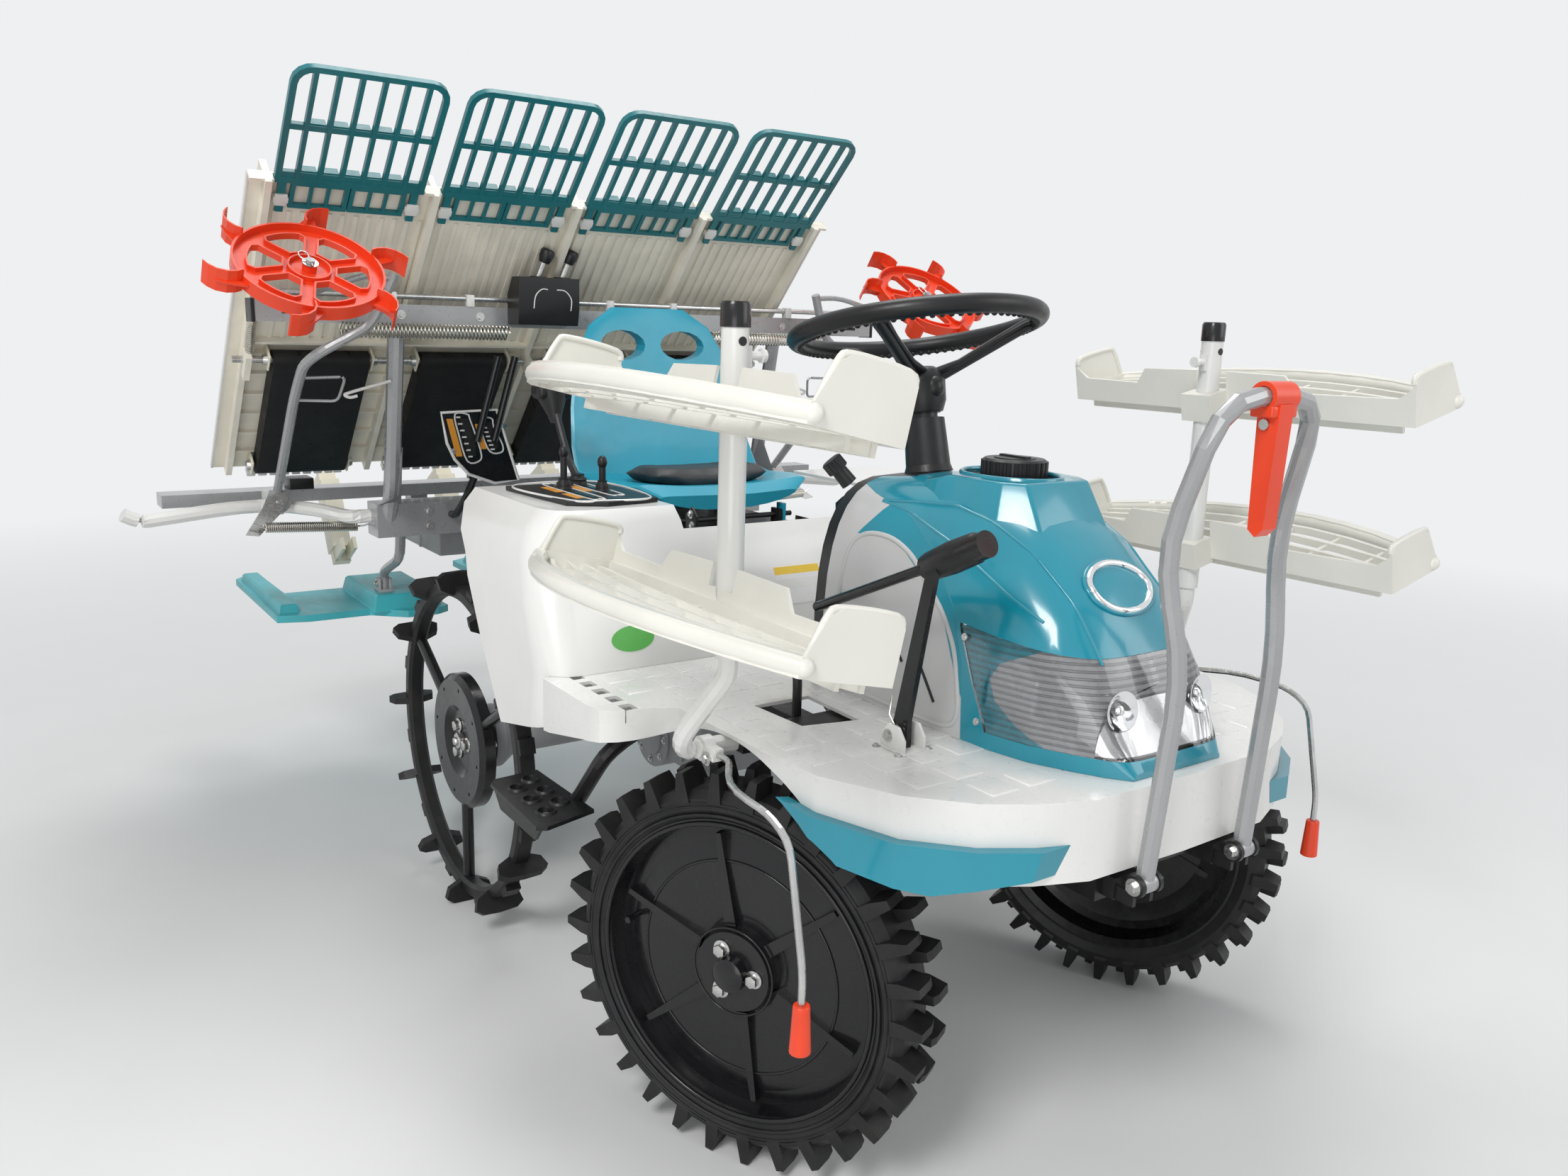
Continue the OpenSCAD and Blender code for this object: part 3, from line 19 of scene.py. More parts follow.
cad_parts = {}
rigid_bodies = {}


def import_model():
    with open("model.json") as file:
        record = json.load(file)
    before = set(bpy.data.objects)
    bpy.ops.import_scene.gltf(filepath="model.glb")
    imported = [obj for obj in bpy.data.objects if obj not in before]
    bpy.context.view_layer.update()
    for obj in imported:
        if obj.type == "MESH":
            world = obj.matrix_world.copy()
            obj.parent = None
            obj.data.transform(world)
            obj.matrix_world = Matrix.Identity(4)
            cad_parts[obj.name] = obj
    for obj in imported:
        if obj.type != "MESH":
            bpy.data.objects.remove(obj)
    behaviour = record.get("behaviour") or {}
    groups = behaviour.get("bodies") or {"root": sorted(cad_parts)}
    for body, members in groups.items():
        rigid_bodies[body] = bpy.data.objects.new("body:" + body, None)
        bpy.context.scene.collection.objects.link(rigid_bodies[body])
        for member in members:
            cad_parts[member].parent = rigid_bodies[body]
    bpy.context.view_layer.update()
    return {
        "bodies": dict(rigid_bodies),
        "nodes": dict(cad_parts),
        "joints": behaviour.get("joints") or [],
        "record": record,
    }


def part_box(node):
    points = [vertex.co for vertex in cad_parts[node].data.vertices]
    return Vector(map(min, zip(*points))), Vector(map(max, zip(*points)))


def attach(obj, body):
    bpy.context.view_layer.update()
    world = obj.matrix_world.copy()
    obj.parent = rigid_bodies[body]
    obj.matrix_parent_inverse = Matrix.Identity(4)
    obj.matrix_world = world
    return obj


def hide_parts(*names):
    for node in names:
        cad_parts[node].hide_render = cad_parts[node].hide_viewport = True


LOG = logging.getLogger("transplanter")
MID_X = 0.13075
PHOTO_SIZE = (2212, 1659)

Point = tuple[float, float, float]
Colour = tuple[float, float, float]
Edge = tuple[float, float, float, float]


def at(x: float, y: float, z: float) -> Vector:
    """Gives a point of the machine, measured in millimetres from the rear axle on the ground.

    Args:
        x: distance forward of the rear axle, in millimetres.
        y: distance to the machine's left, in millimetres.
        z: height over the ground, in millimetres.

    Returns:
        The same point in metres in the CAD's frame.
    """
    return Vector((x / 1000 - MID_X, y / 1000, z / 1000))


class Side(Enum):
    """The two sides of the machine, seen from its seat."""

    RIGHT = -1
    LEFT = 1

    @property
    def word(self) -> str:
        """The side's name in lower case."""
        return self.name.lower()


class Pattern(Enum):
    """What a finish shows over its plain colour."""

    NONE = "none"
    STUDDED_TREAD = "studded_tread"
    DOTTED_BELT = "dotted_belt"
    RIBBED_PANEL = "ribbed_panel"
    FINE_RIBS = "fine_ribs"


class NodeBoard:
    """A material's node tree, with short calls to add and join nodes."""

    def __init__(self, name: str) -> None:
        """Starts a material with one shader joined to its output."""
        self.material = bpy.data.materials.new(name)
        self.material.use_nodes = True
        self.tree = self.material.node_tree
        self.shader = self.tree.nodes["Principled BSDF"]
        place = self.tree.nodes.new("ShaderNodeTexCoord")
        self.coords = place.outputs["Object"]

    def node(self, kind: str, **settings: object) -> bpy.types.Node:
        """Adds a node and sets its options.

        Args:
            kind: the node's type name after ShaderNode.
            settings: attributes of the node.

        Returns:
            The new node.
        """
        made = self.tree.nodes.new("ShaderNode" + kind)
        for key, value in settings.items():
            setattr(made, key, value)
        return made

    def join(self, source: bpy.types.NodeSocket, target: bpy.types.NodeSocket) -> None:
        """Joins an output socket to an input socket."""
        self.tree.links.new(source, target)

    def noise(self, scale: float, detail: float = 3.0, stretch: Optional[Point] = None) -> bpy.types.NodeSocket:
        """Adds a noise over the object's own coordinates.

        Args:
            scale: grains in a metre.
            detail: number of octaves.
            stretch: factors that draw the grain out along X, Y and Z.

        Returns:
            The noise's factor socket.
        """
        made = self.node("TexNoise")
        made.inputs["Scale"].default_value = scale
        made.inputs["Detail"].default_value = detail
        coords = self.coords
        if stretch:
            mapping = self.node("Mapping")
            mapping.inputs["Scale"].default_value = stretch
            self.join(self.coords, mapping.inputs["Vector"])
            coords = mapping.outputs["Vector"]
        self.join(coords, made.inputs["Vector"])
        return made.outputs["Fac"]

    def math(self, operation: str, a: object, b: object = None) -> bpy.types.NodeSocket:
        """Adds a sum on one or two values or sockets.

        Args:
            operation: Blender's name of the operation.
            a: a number or socket.
            b: a number or socket, where the operation takes two.

        Returns:
            The result's socket.
        """
        made = self.node("Math", operation=operation)
        for slot, value in zip(made.inputs, (a, b)):
            if isinstance(value, (int, float)):
                slot.default_value = value
            elif value is not None:
                self.join(value, slot)
        return made.outputs[0]

    def span(self, source: bpy.types.NodeSocket, low: float, high: float, start: float = 0.0, end: float = 1.0) -> bpy.types.NodeSocket:
        """Maps a value from one range to another and clamps it.

        Args:
            source: the value's socket.
            low: value at the start.
            high: value at the end.
            start: source value that gives low.
            end: source value that gives high.

        Returns:
            The mapped value's socket.
        """
        made = self.node("MapRange")
        self.join(source, made.inputs["Value"])
        made.inputs["From Min"].default_value = start
        made.inputs["From Max"].default_value = end
        made.inputs["To Min"].default_value = low
        made.inputs["To Max"].default_value = high
        return made.outputs["Result"]

    def blend(self, factor: bpy.types.NodeSocket, a: object, b: object) -> bpy.types.NodeSocket:
        """Mixes two colours by a factor.

        Args:
            factor: socket that is 0 for a and 1 for b.
            a: a colour or a colour socket.
            b: a colour or a colour socket.

        Returns:
            The mixed colour's socket.
        """
        made = self.node("Mix", data_type="RGBA")
        self.join(factor, made.inputs["Factor"])
        for slot, value in ((made.inputs[6], a), (made.inputs[7], b)):
            if isinstance(value, tuple):
                slot.default_value = (*value, 1.0)
            else:
                self.join(value, slot)
        return made.outputs[2]

    def bump(self, height: bpy.types.NodeSocket, distance: float, strength: float = 1.0, under: Optional[bpy.types.NodeSocket] = None) -> bpy.types.NodeSocket:
        """Turns a height into a tilted surface.

        Args:
            height: the height's socket.
            distance: height of a value of 1, in metres.
            strength: how much of the tilt shows.
            under: a coarser bump that this one lies on.

        Returns:
            The normal's socket.
        """
        made = self.node("Bump")
        made.inputs["Strength"].default_value = strength
        made.inputs["Distance"].default_value = distance
        self.join(height, made.inputs["Height"])
        if under is not None:
            self.join(under, made.inputs["Normal"])
        return made.outputs["Normal"]

    def axes(self) -> bpy.types.Node:
        """Splits the object's coordinates into X, Y and Z."""
        made = self.node("SeparateXYZ")
        self.join(self.coords, made.inputs[0])
        return made

    def lift(self, value: bpy.types.NodeSocket, pitch: float, start: float, width: float) -> bpy.types.NodeSocket:
        """Gives 1 inside evenly spaced bands and 0 between them, with soft sides.

        Args:
            value: coordinate across the bands, in metres.
            pitch: distance between two bands.
            start: place of the middle of one band.
            width: width of a band.

        Returns:
            The band's socket.
        """
        turn = self.math("FRACT", self.math("DIVIDE", self.math("SUBTRACT", value, start - pitch / 2), pitch))
        away = self.math("ABSOLUTE", self.math("SUBTRACT", turn, 0.5))
        half = width / pitch / 2
        return self.span(away, 1.0, 0.0, half * 0.8, half * 1.2)


@dataclass(frozen=True)
class Finish:
    """One finish of the machine, with its colour, gloss, grain and dust."""

    name: str
    slot: str
    colour: Colour
    roughness: float
    metallic: float = 0.0
    coat: float = 0.0
    mottle: float = 0.05
    mottle_scale: float = 9.0
    grain: float = 0.00001
    grain_scale: float = 900.0
    spread: float = 0.1
    dust: float = 0.0
    dust_colour: Colour = (0.34, 0.3, 0.24)
    transmission: float = 0.0
    gloss: float = 0.5
    pattern: Pattern = Pattern.NONE
    second: Optional[Colour] = None
    zones: tuple[tuple[Edge, ...], ...] = ()

    def make(self) -> bpy.types.Material:
        """Builds the finish's node material, or returns the one made before.

        Returns:
            The material.
        """
        if self.name in bpy.data.materials:
            return bpy.data.materials[self.name]
        board = NodeBoard(self.name)
        shader = board.shader
        shader.inputs["Metallic"].default_value = self.metallic
        shader.inputs["Coat Weight"].default_value = self.coat
        shader.inputs["Specular IOR Level"].default_value = self.gloss
        shader.inputs["Coat Roughness"].default_value = 0.08
        shader.inputs["Transmission Weight"].default_value = self.transmission
        dark = tuple(c * (1 - 2.2 * self.mottle) for c in self.colour)
        light = tuple(min(1.0, c * (1 + self.mottle)) for c in self.colour)
        tone = board.blend(board.span(board.noise(self.mottle_scale, 4), 0, 1, 0.35, 0.65), dark, light)
        if self.dust:
            lumps = board.noise(26, 6)
            tone = board.blend(board.span(lumps, 0, self.dust, 0.45, 0.72), tone, self.dust_colour)
        if self.second:
            tone = board.blend(self.inside(board), tone, self.second)
        height, depth = self.relief(board)
        if height is not None and self.pattern is Pattern.FINE_RIBS:
            tone = board.blend(board.math("MULTIPLY", height, 0.45), tone, (0.02, 0.03, 0.035))
        if height is not None and self.pattern is Pattern.DOTTED_BELT:
            tone = board.blend(height, tone, (0.004, 0.004, 0.004))
        board.join(tone, shader.inputs["Base Color"])
        rough = board.span(board.noise(self.mottle_scale * 7, 3), max(0.02, self.roughness - self.spread / 2), self.roughness + self.spread / 2, 0.3, 0.7)
        board.join(rough, shader.inputs["Roughness"])
        normal = board.bump(height, depth) if height is not None else None
        if self.grain:
            normal = board.bump(board.noise(self.grain_scale, 2), self.grain, 1.0, normal)
        if normal is not None:
            board.join(normal, shader.inputs["Normal"])
        return board.material

    def inside(self, board: NodeBoard) -> bpy.types.NodeSocket:
        """Gives 1 where the second colour shows, in any zone that lies left of all its edges.

        Args:
            board: the material that is being made.

        Returns:
            The factor's socket.
        """
        x, _, z = board.axes().outputs
        shown = None
        for zone in self.zones:
            part = None
            for x0, z0, x1, z1 in zone:
                along = Vector((x1 - x0, z1 - z0)).normalized()
                origin = at(x0, 0, z0)
                offset = along.y * origin.x - along.x * origin.z
                value = board.math("ADD", board.math("MULTIPLY", x, -along.y), board.math("MULTIPLY", z, along.x))
                step = board.span(board.math("ADD", value, offset), 0, 1, -0.0006, 0.0006)
                part = step if part is None else board.math("MINIMUM", part, step)
            shown = part if shown is None else board.math("MAXIMUM", shown, part)
        return shown

    def relief(self, board: NodeBoard) -> tuple[Optional[bpy.types.NodeSocket], float]:
        """Gives the pattern's height and its depth in metres.

        Args:
            board: the material that is being made.

        Returns:
            The height's socket, or None for a plain finish, and the height of a value of 1.
        """
        if self.pattern is Pattern.NONE:
            return None, 0.0
        split = board.axes()
        x, y, z = split.outputs
        if self.pattern is Pattern.STUDDED_TREAD:
            studs = board.math("MULTIPLY", board.lift(x, 0.034, 0.01, 0.017), board.lift(y, 0.034, 0.0, 0.017))
            geometry = board.node("NewGeometry")
            facing = board.node("SeparateXYZ")
            board.join(geometry.outputs["Normal"], facing.inputs[0])
            top = board.span(facing.outputs[2], 0, 1, 0.97, 0.99)
            return board.math("MULTIPLY", studs, top), 0.0018
        if self.pattern is Pattern.DOTTED_BELT:
            slope = board.math("ADD", board.math("MULTIPLY", x, 0.686), board.math("MULTIPLY", z, 0.728))
            return board.math("MULTIPLY", board.lift(slope, 0.052, 0.0, 0.006), board.lift(y, 0.05, 0.02, 0.006)), 0.001
        if self.pattern is Pattern.RIBBED_PANEL:
            return board.lift(y, 0.05, 0.0, 0.03), 0.003
        return board.lift(z, 0.0085, 0.0, 0.003), 0.0012


@dataclass(frozen=True)
class Palette:
    """Every finish that the machine wears."""

    white_cover: Finish = Finish("white_cover_plastic", "white_plastic", (0.79, 0.785, 0.76), 0.26, coat=0.3, mottle=0.012, spread=0.02, grain=0)
    deck_white: Finish = Finish("deck_white_plastic", "white_plastic", (0.78, 0.775, 0.75), 0.28, coat=0.3, mottle=0.012, spread=0.02, grain=0)
    teal: Finish = Finish("teal_body_plastic", "teal_plastic", (0.006, 0.25, 0.34), 0.2, coat=0.45, mottle=0.03, spread=0.03, grain=0)
    seat_teal: Finish = Finish("teal_seat_shell", "teal_plastic", (0.012, 0.33, 0.46), 0.34, coat=0.15, mottle=0.03, grain=0.0001)
    float_teal: Finish = Finish("teal_float_plastic", "teal_plastic", (0.05, 0.42, 0.47), 0.4, mottle=0.06, dust=0.08)
    deep_teal: Finish = Finish("deep_teal_rack_plastic", "deep_teal_plastic", (0.009, 0.16, 0.18), 0.34, mottle=0.05)
    light_grey: Finish = Finish("light_grey_panel_plastic", "light_grey_plastic", (0.56, 0.56, 0.555), 0.42, mottle=0.02)
    panel_grey: Finish = Finish("two_tone_side_plastic", "light_grey_plastic", (0.56, 0.56, 0.555), 0.36, coat=0.2, mottle=0.02, spread=0.03,
                                grain=0, second=(0.006, 0.25, 0.34), zones=tuple(((865, 935, 780, 840), line) for line in (
                                    (790, 838, 860, 843), (870, 838, 944, 795), (944, 795, 985, 760), (985, 760, 1026, 676))))
    cream: Finish = Finish("cream_rack_plastic", "cream_plastic", (0.78, 0.765, 0.70), 0.34, coat=0.1, mottle=0.02, spread=0.03, grain=0)
    stage_cream: Finish = Finish("cream_stage_plastic", "cream_plastic", (0.83, 0.79, 0.68), 0.36, mottle=0.04, mottle_scale=14)
    black_plastic: Finish = Finish("black_moulded_plastic", "black_plastic", (0.012, 0.012, 0.013), 0.36, mottle=0.08, grain=0.0001, gloss=0.35)
    black_gloss: Finish = Finish("black_gloss_paint", "black_paint", (0.008, 0.008, 0.009), 0.26, coat=0.25, mottle=0.08, gloss=0.3)
    black_frame: Finish = Finish("black_frame_paint", "black_paint", (0.011, 0.011, 0.012), 0.38, mottle=0.1, dust=0.02, gloss=0.35)
    tyre: Finish = Finish("black_tyre_rubber", "black_tyre", (0.010, 0.010, 0.011), 0.5, mottle=0.2, dust=0.025, grain=0.0002, grain_scale=420, gloss=0.35)
    belt: Finish = Finish("black_belt_rubber", "black_rubber", (0.010, 0.010, 0.011), 0.55, mottle=0.1, dust=0.02, gloss=0.3, pattern=Pattern.DOTTED_BELT)
    casting: Finish = Finish("grey_cast_metal", "grey_casting", (0.33, 0.34, 0.35), 0.45, mottle=0.08, grain=0.0003, grain_scale=500, dust=0.08)
    grey_paint: Finish = Finish("grey_tube_paint", "grey_paint", (0.36, 0.365, 0.37), 0.3, metallic=0.35, mottle=0.03, coat=0.2, grain=0)
    zinc: Finish = Finish("zinc_plated_steel", "bright_steel", (0.58, 0.58, 0.57), 0.28, metallic=1.0, mottle=0.06, mottle_scale=30, grain=0)
    spring_steel: Finish = Finish("spring_steel", "bright_steel", (0.66, 0.64, 0.59), 0.2, metallic=1.0, mottle=0.04, grain=0)
    white_paint: Finish = Finish("white_tube_paint", "white_paint", (0.76, 0.755, 0.73), 0.26, coat=0.3, mottle=0.015, spread=0.02, grain=0)
    red: Finish = Finish("orange_red_plastic", "red_plastic", (0.80, 0.055, 0.012), 0.34, mottle=0.05)
    rotor_cream: Finish = Finish("cream_claw_plastic", "cream_plastic", (0.76, 0.72, 0.58), 0.38, mottle=0.05)
    lens: Finish = Finish("clear_lamp_lens", "clear_lens", (0.95, 0.96, 0.97), 0.04, mottle=0.0, transmission=1.0, spread=0.02, grain=0.0)
    chrome: Finish = Finish("bright_chrome", "bright_steel", (0.80, 0.81, 0.82), 0.07, metallic=1.0, mottle=0.02, grain=0.0)
    lamp_ribbed: Finish = Finish("ribbed_lamp_plastic", "teal_plastic", (0.006, 0.24, 0.32), 0.26, coat=0.4, mottle=0.03, pattern=Pattern.FINE_RIBS,
                                 second=(0.36, 0.36, 0.37), zones=(((1116, 729, 1089, 716), (1089, 716, 1077, 694), (1077, 694, 1088, 667),
                                                                    (1088, 667, 1119, 642), (1119, 642, 1189, 609)),))
    label_orange: Finish = Finish("bare_orange_label", "red_plastic", (0.72, 0.30, 0.03), 0.4, mottle=0.02)
    label_white: Finish = Finish("bare_white_label", "white_plastic", (0.80, 0.80, 0.79), 0.3, mottle=0.01, grain=0)
    label_yellow: Finish = Finish("bare_yellow_label", "red_plastic", (0.78, 0.52, 0.02), 0.3, mottle=0.01, grain=0)
    label_green: Finish = Finish("bare_green_label", "deep_teal_plastic", (0.10, 0.46, 0.08), 0.3, mottle=0.01, grain=0)
    reflector: Finish = Finish("lamp_reflector", "lamp_silver", (0.46, 0.45, 0.45), 0.3, metallic=0.9, mottle=0.03)
    vinyl: Finish = Finish("charcoal_seat_vinyl", "seat_vinyl", (0.035, 0.036, 0.038), 0.5, mottle=0.08, grain=0.0004, grain_scale=520)


class Form:
    """A mesh that is shaped with bmesh operators and then becomes one piece."""

    def __init__(self) -> None:
        """Starts an empty mesh."""
        self.bm = bmesh.new()

    @staticmethod
    def facing(place: Vector, axis: Vector) -> Matrix:
        """Gives the transform that stands a shape's Z along an axis at a place."""
        return Matrix.Translation(place) @ axis.to_track_quat("Z", "Y").to_matrix().to_4x4()

    def rod(self, start: Vector, end: Vector, radius: float, end_radius: Optional[float] = None, sides: int = 20) -> "Form":
        """Adds a round bar or a cone between two points.

        Args:
            start: middle of the first end.
            end: middle of the other end.
            radius: radius at the start.
            end_radius: radius at the end, where it differs.
            sides: number of flat sides.

        Returns:
            The form itself.
        """
        along = end - start
        bmesh.ops.create_cone(self.bm, cap_ends=True, segments=sides, radius1=radius,
                              radius2=radius if end_radius is None else end_radius, depth=along.length,
                              matrix=self.facing((start + end) / 2, along))
        return self

    def ball(self, place: Vector, radius: float, squash: Point = (1, 1, 1)) -> "Form":
        """Adds a ball, drawn out along X, Y and Z by the squash factors."""
        bmesh.ops.create_uvsphere(self.bm, u_segments=20, v_segments=12, radius=radius,
                                  matrix=Matrix.Translation(place) @ Matrix.Diagonal((*squash, 1)))
        return self

    def block(self, low: Vector, high: Vector) -> "Form":
        """Adds a box between two corners."""
        middle, size = (low + high) / 2, high - low
        bmesh.ops.create_cube(self.bm, size=1.0, matrix=Matrix.Translation(middle) @ Matrix.Diagonal((*size, 1)))
        return self

    def lathe(self, profile: Sequence[tuple[float, float]], place: Vector, axis: Vector, sides: int = 48) -> "Form":
        """Turns a profile round an axis.

        Args:
            profile: points as radius and height along the axis; a closed outline closes the form.
            place: origin of the axis.
            axis: direction of the axis.
            sides: number of steps round the axis.

        Returns:
            The form itself.
        """
        before = set(self.bm.verts)
        verts = [self.bm.verts.new((r, 0, h)) for r, h in profile]
        edges = [self.bm.edges.new((verts[i], verts[i - 1])) for i in range(len(verts))]
        bmesh.ops.spin(self.bm, geom=verts + edges, cent=(0, 0, 0), axis=(0, 0, 1), angle=math.tau, steps=sides, use_merge=True)
        self.move(self.facing(place, axis), set(self.bm.verts) - before)
        return self

    def move(self, matrix: Matrix, verts: Iterable[bmesh.types.BMVert]) -> None:
        """Moves some of the mesh's points."""
        bmesh.ops.transform(self.bm, matrix=matrix, verts=list(verts))

    def tube(self, path: Sequence[Vector], radius: float, sides: int = 10, closed: bool = False) -> "Form":
        """Sweeps a circle along a path.

        Args:
            path: points of the middle line.
            radius: radius of the tube.
            sides: number of flat sides.
            closed: whether the path comes back to its first point.

        Returns:
            The form itself.
        """
        ring: list[bmesh.types.BMEdge] = []
        turn = None
        count = len(path)
        if closed:
            path = [*path, path[0], path[1]]
        for i, place in enumerate(path[:count + 1] if closed else path):
            before = path[i - 1] if i else path[count - 1 if closed else 0]
            ahead = (path[min(i + 1, len(path) - 1)] - before).normalized()
            turn = ahead.to_track_quat("Z", "Y") if turn is None else (turn @ Vector((0, 0, 1))).rotation_difference(ahead) @ turn
            matrix = Matrix.Translation(place) @ turn.to_matrix().to_4x4()
            capped = not closed and i in (0, count - 1)
            made = bmesh.ops.create_circle(self.bm, cap_ends=capped, segments=sides, radius=radius, matrix=matrix)
            edges = list({e for v in made["verts"] for e in v.link_edges})
            if ring:
                bmesh.ops.bridge_loops(self.bm, edges=ring + edges)
            ring = edges
        return self

    def loop(self, outline: Sequence[Vector]) -> list[bmesh.types.BMEdge]:
        """Adds a closed loop of edges and gives them back for bridging."""
        verts = [self.bm.verts.new(place) for place in outline]
        return [self.bm.edges.new((verts[i - 1], verts[i])) for i in range(len(verts))]

    def plate(self, outline: Sequence[Vector], depth: Vector) -> "Form":
        """Draws a flat outline out into a plate.

        Args:
            outline: corners of the plate's first face.
            depth: direction and thickness of the plate.

        Returns:
            The form itself.
        """
        face = self.bm.faces.new([self.bm.verts.new(p) for p in outline])
        made = bmesh.ops.extrude_face_region(self.bm, geom=[face], use_keep_orig=True)
        bmesh.ops.translate(self.bm, vec=depth, verts=[v for v in made["geom"] if isinstance(v, bmesh.types.BMVert)])
        return self

    def soften(self, width: float, segments: int = 2, angle: float = 35) -> "Form":
        """Rounds every edge that is sharper than an angle."""
        edges = [e for e in self.bm.edges if len(e.link_faces) == 2 and math.degrees(e.calc_face_angle(0)) > angle]
        bmesh.ops.bevel(self.bm, geom=edges, offset=width, segments=segments, profile=0.5, affect="EDGES", material=-1,
                        clamp_overlap=True)
        return self

    def piece(self, name: str, body: str, finish: Finish, replaces: Sequence[str] = (), smooth: float = 40) -> bpy.types.Object:
        """Ends the form: it becomes an object that rides on a body.

        Args:
            name: the piece's name.
            body: the CAD body that carries it.
            finish: what it wears.
            replaces: CAD nodes that it stands for.
            smooth: edges flatter than this angle are shaded smooth.

        Returns:
            The finished object.
        """
        bmesh.ops.remove_doubles(self.bm, verts=self.bm.verts, dist=1e-6)
        bmesh.ops.recalc_face_normals(self.bm, faces=self.bm.faces)
        for face in self.bm.faces:
            face.smooth = True
        for edge in self.bm.edges:
            edge.smooth = len(edge.link_faces) == 2 and math.degrees(edge.calc_face_angle(0)) < smooth
        mesh = bpy.data.meshes.new(name)
        self.bm.to_mesh(mesh)
        self.bm.free()
        made = bpy.data.objects.new(name, mesh)
        bpy.context.scene.collection.objects.link(made)
        mesh.materials.append(finish.make())
        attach(made, body)
        if replaces:
            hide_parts(*replaces)
        LOG.info("%s rides on %s", name, body)
        return made


@dataclass
class CadDress:
    """Gives each CAD node its finish."""

    nodes: dict[str, bpy.types.Object]
    palette: Palette

    def table(self) -> dict[str, Finish]:
        """Names the finish of every CAD node."""
        p = self.palette
        plain = {
            "frame": p.black_frame, "engine_block": p.casting, "transmission_case": p.casting, "front_axle": p.casting,
            "rear_axle": p.casting, "deck": p.deck_white, "side_bumpers": p.teal, "hood": p.teal, "side_panels": p.panel_grey,
            "lamp_lens": p.lens, "lamp_body": p.reflector, "caps": p.black_plastic, "dash": p.black_plastic,
            "body_cover": p.white_cover, "control_panel": p.black_plastic, "control_levers": p.black_plastic,
            "footsteps": p.black_frame, "rack_poles": p.white_paint, "upper_racks": p.cream, "lower_racks": p.cream,
            "marker_rods": p.zinc, "rod_grips": p.red, "foot_pedals": p.black_frame, "hand_lever": p.black_gloss,
            "steering_wheel": p.black_plastic, "front_handle": p.grey_paint, "brake_lever": p.red, "seat_shell": p.seat_teal,
            "seat_cushion": p.vinyl, "lower_links": p.black_frame, "upper_link": p.black_frame, "planting_frame": p.grey_paint,
            "planting_cases": p.casting, "bumper_tubes": p.white_paint, "floats": p.float_teal, "springs": p.spring_steel,
            "notch_plate": p.black_gloss, "clutch_box": p.black_plastic, "stage": p.stage_cream, "belts": p.belt,
            "belt_shaft": p.zinc,
            "extension_racks": p.deep_teal}
        paired = {"knuckle": p.casting, "front_rim": p.black_gloss, "front_tyre": p.tyre, "rear_hub": p.black_gloss,
                  "rear_tyre": p.tyre, "marker_arm": p.grey_paint, "marker_disc": p.red, "rotor": p.rotor_cream}
        for name, finish in paired.items():
            for side in Side:
                plain[f"{name}_{side.word}"] = finish
        return plain

    def apply(self) -> None:
        """Puts the finishes on the nodes' material slots."""
        table = self.table()
        for name, obj in self.nodes.items():
            finish = table[name]
            if not obj.data.materials:
                obj.data.materials.append(finish.make())
            for i in range(len(obj.data.materials)):
                obj.data.materials[i] = finish.make()
            LOG.info("%s wears %s", name, finish.name)


@dataclass(frozen=True)
class SoftEdge:
    """How the edges of one moulded or pressed CAD node are rounded."""

    node: str
    width: float
    segments: int = 3
    angle: float = 28
    flat: float = 6


@dataclass
class Mouldings:
    """Copies of CAD nodes whose sharp edges are rounded, as moulds and presses leave them."""

    nodes: dict[str, bpy.types.Object]
    bodies: dict[str, list[str]]
    dress: CadDress

    def body_of(self, node: str) -> str:
        """Names the body that a node rides on."""
        return next(body for body, members in self.bodies.items() if node in members)

    def round_off(self, edge: SoftEdge) -> bpy.types.Object:
        """Copies one node, joins its flat facets and rounds its sharp edges.

        Args:
            edge: which node, and how wide the rounding is.

        Returns:
            The rounded copy, which stands for the node.
        """
        mesh = self.nodes[edge.node].data.copy()
        made = bpy.data.objects.new(f"{edge.node}_soft", mesh)
        bpy.context.scene.collection.objects.link(made)
        bm = bmesh.new()
        bm.from_mesh(mesh)
        bmesh.ops.remove_doubles(bm, verts=bm.verts, dist=2e-5)
        bmesh.ops.dissolve_degenerate(bm, dist=2e-5, edges=bm.edges)
        bmesh.ops.dissolve_limit(bm, angle_limit=math.radians(0.6), verts=bm.verts, edges=bm.edges)
        sharp = [e for e in bm.edges if len(e.link_faces) == 2 and math.degrees(e.calc_face_angle(0)) > edge.angle]
        bmesh.ops.bevel(bm, geom=sharp, offset=edge.width, segments=edge.segments, profile=0.5, affect="EDGES",
                        material=-1, clamp_overlap=True, harden_normals=False)
        for face in bm.faces:
            face.smooth = True
        for link in bm.edges:
            link.smooth = len(link.link_faces) == 2 and math.degrees(link.calc_face_angle(0)) < 44
        bm.to_mesh(mesh)
        bm.free()
        weigh = made.modifiers.new("weigh", "WEIGHTED_NORMAL")
        weigh.keep_sharp = True
        weigh.weight = 80
        finish = self.dress.table()[edge.node]
        mesh.materials.clear()
        mesh.materials.append(finish.make())
        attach(made, self.body_of(edge.node))
        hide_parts(edge.node)
        LOG.info("%s has %d faces", made.name, len(mesh.polygons))
        return made


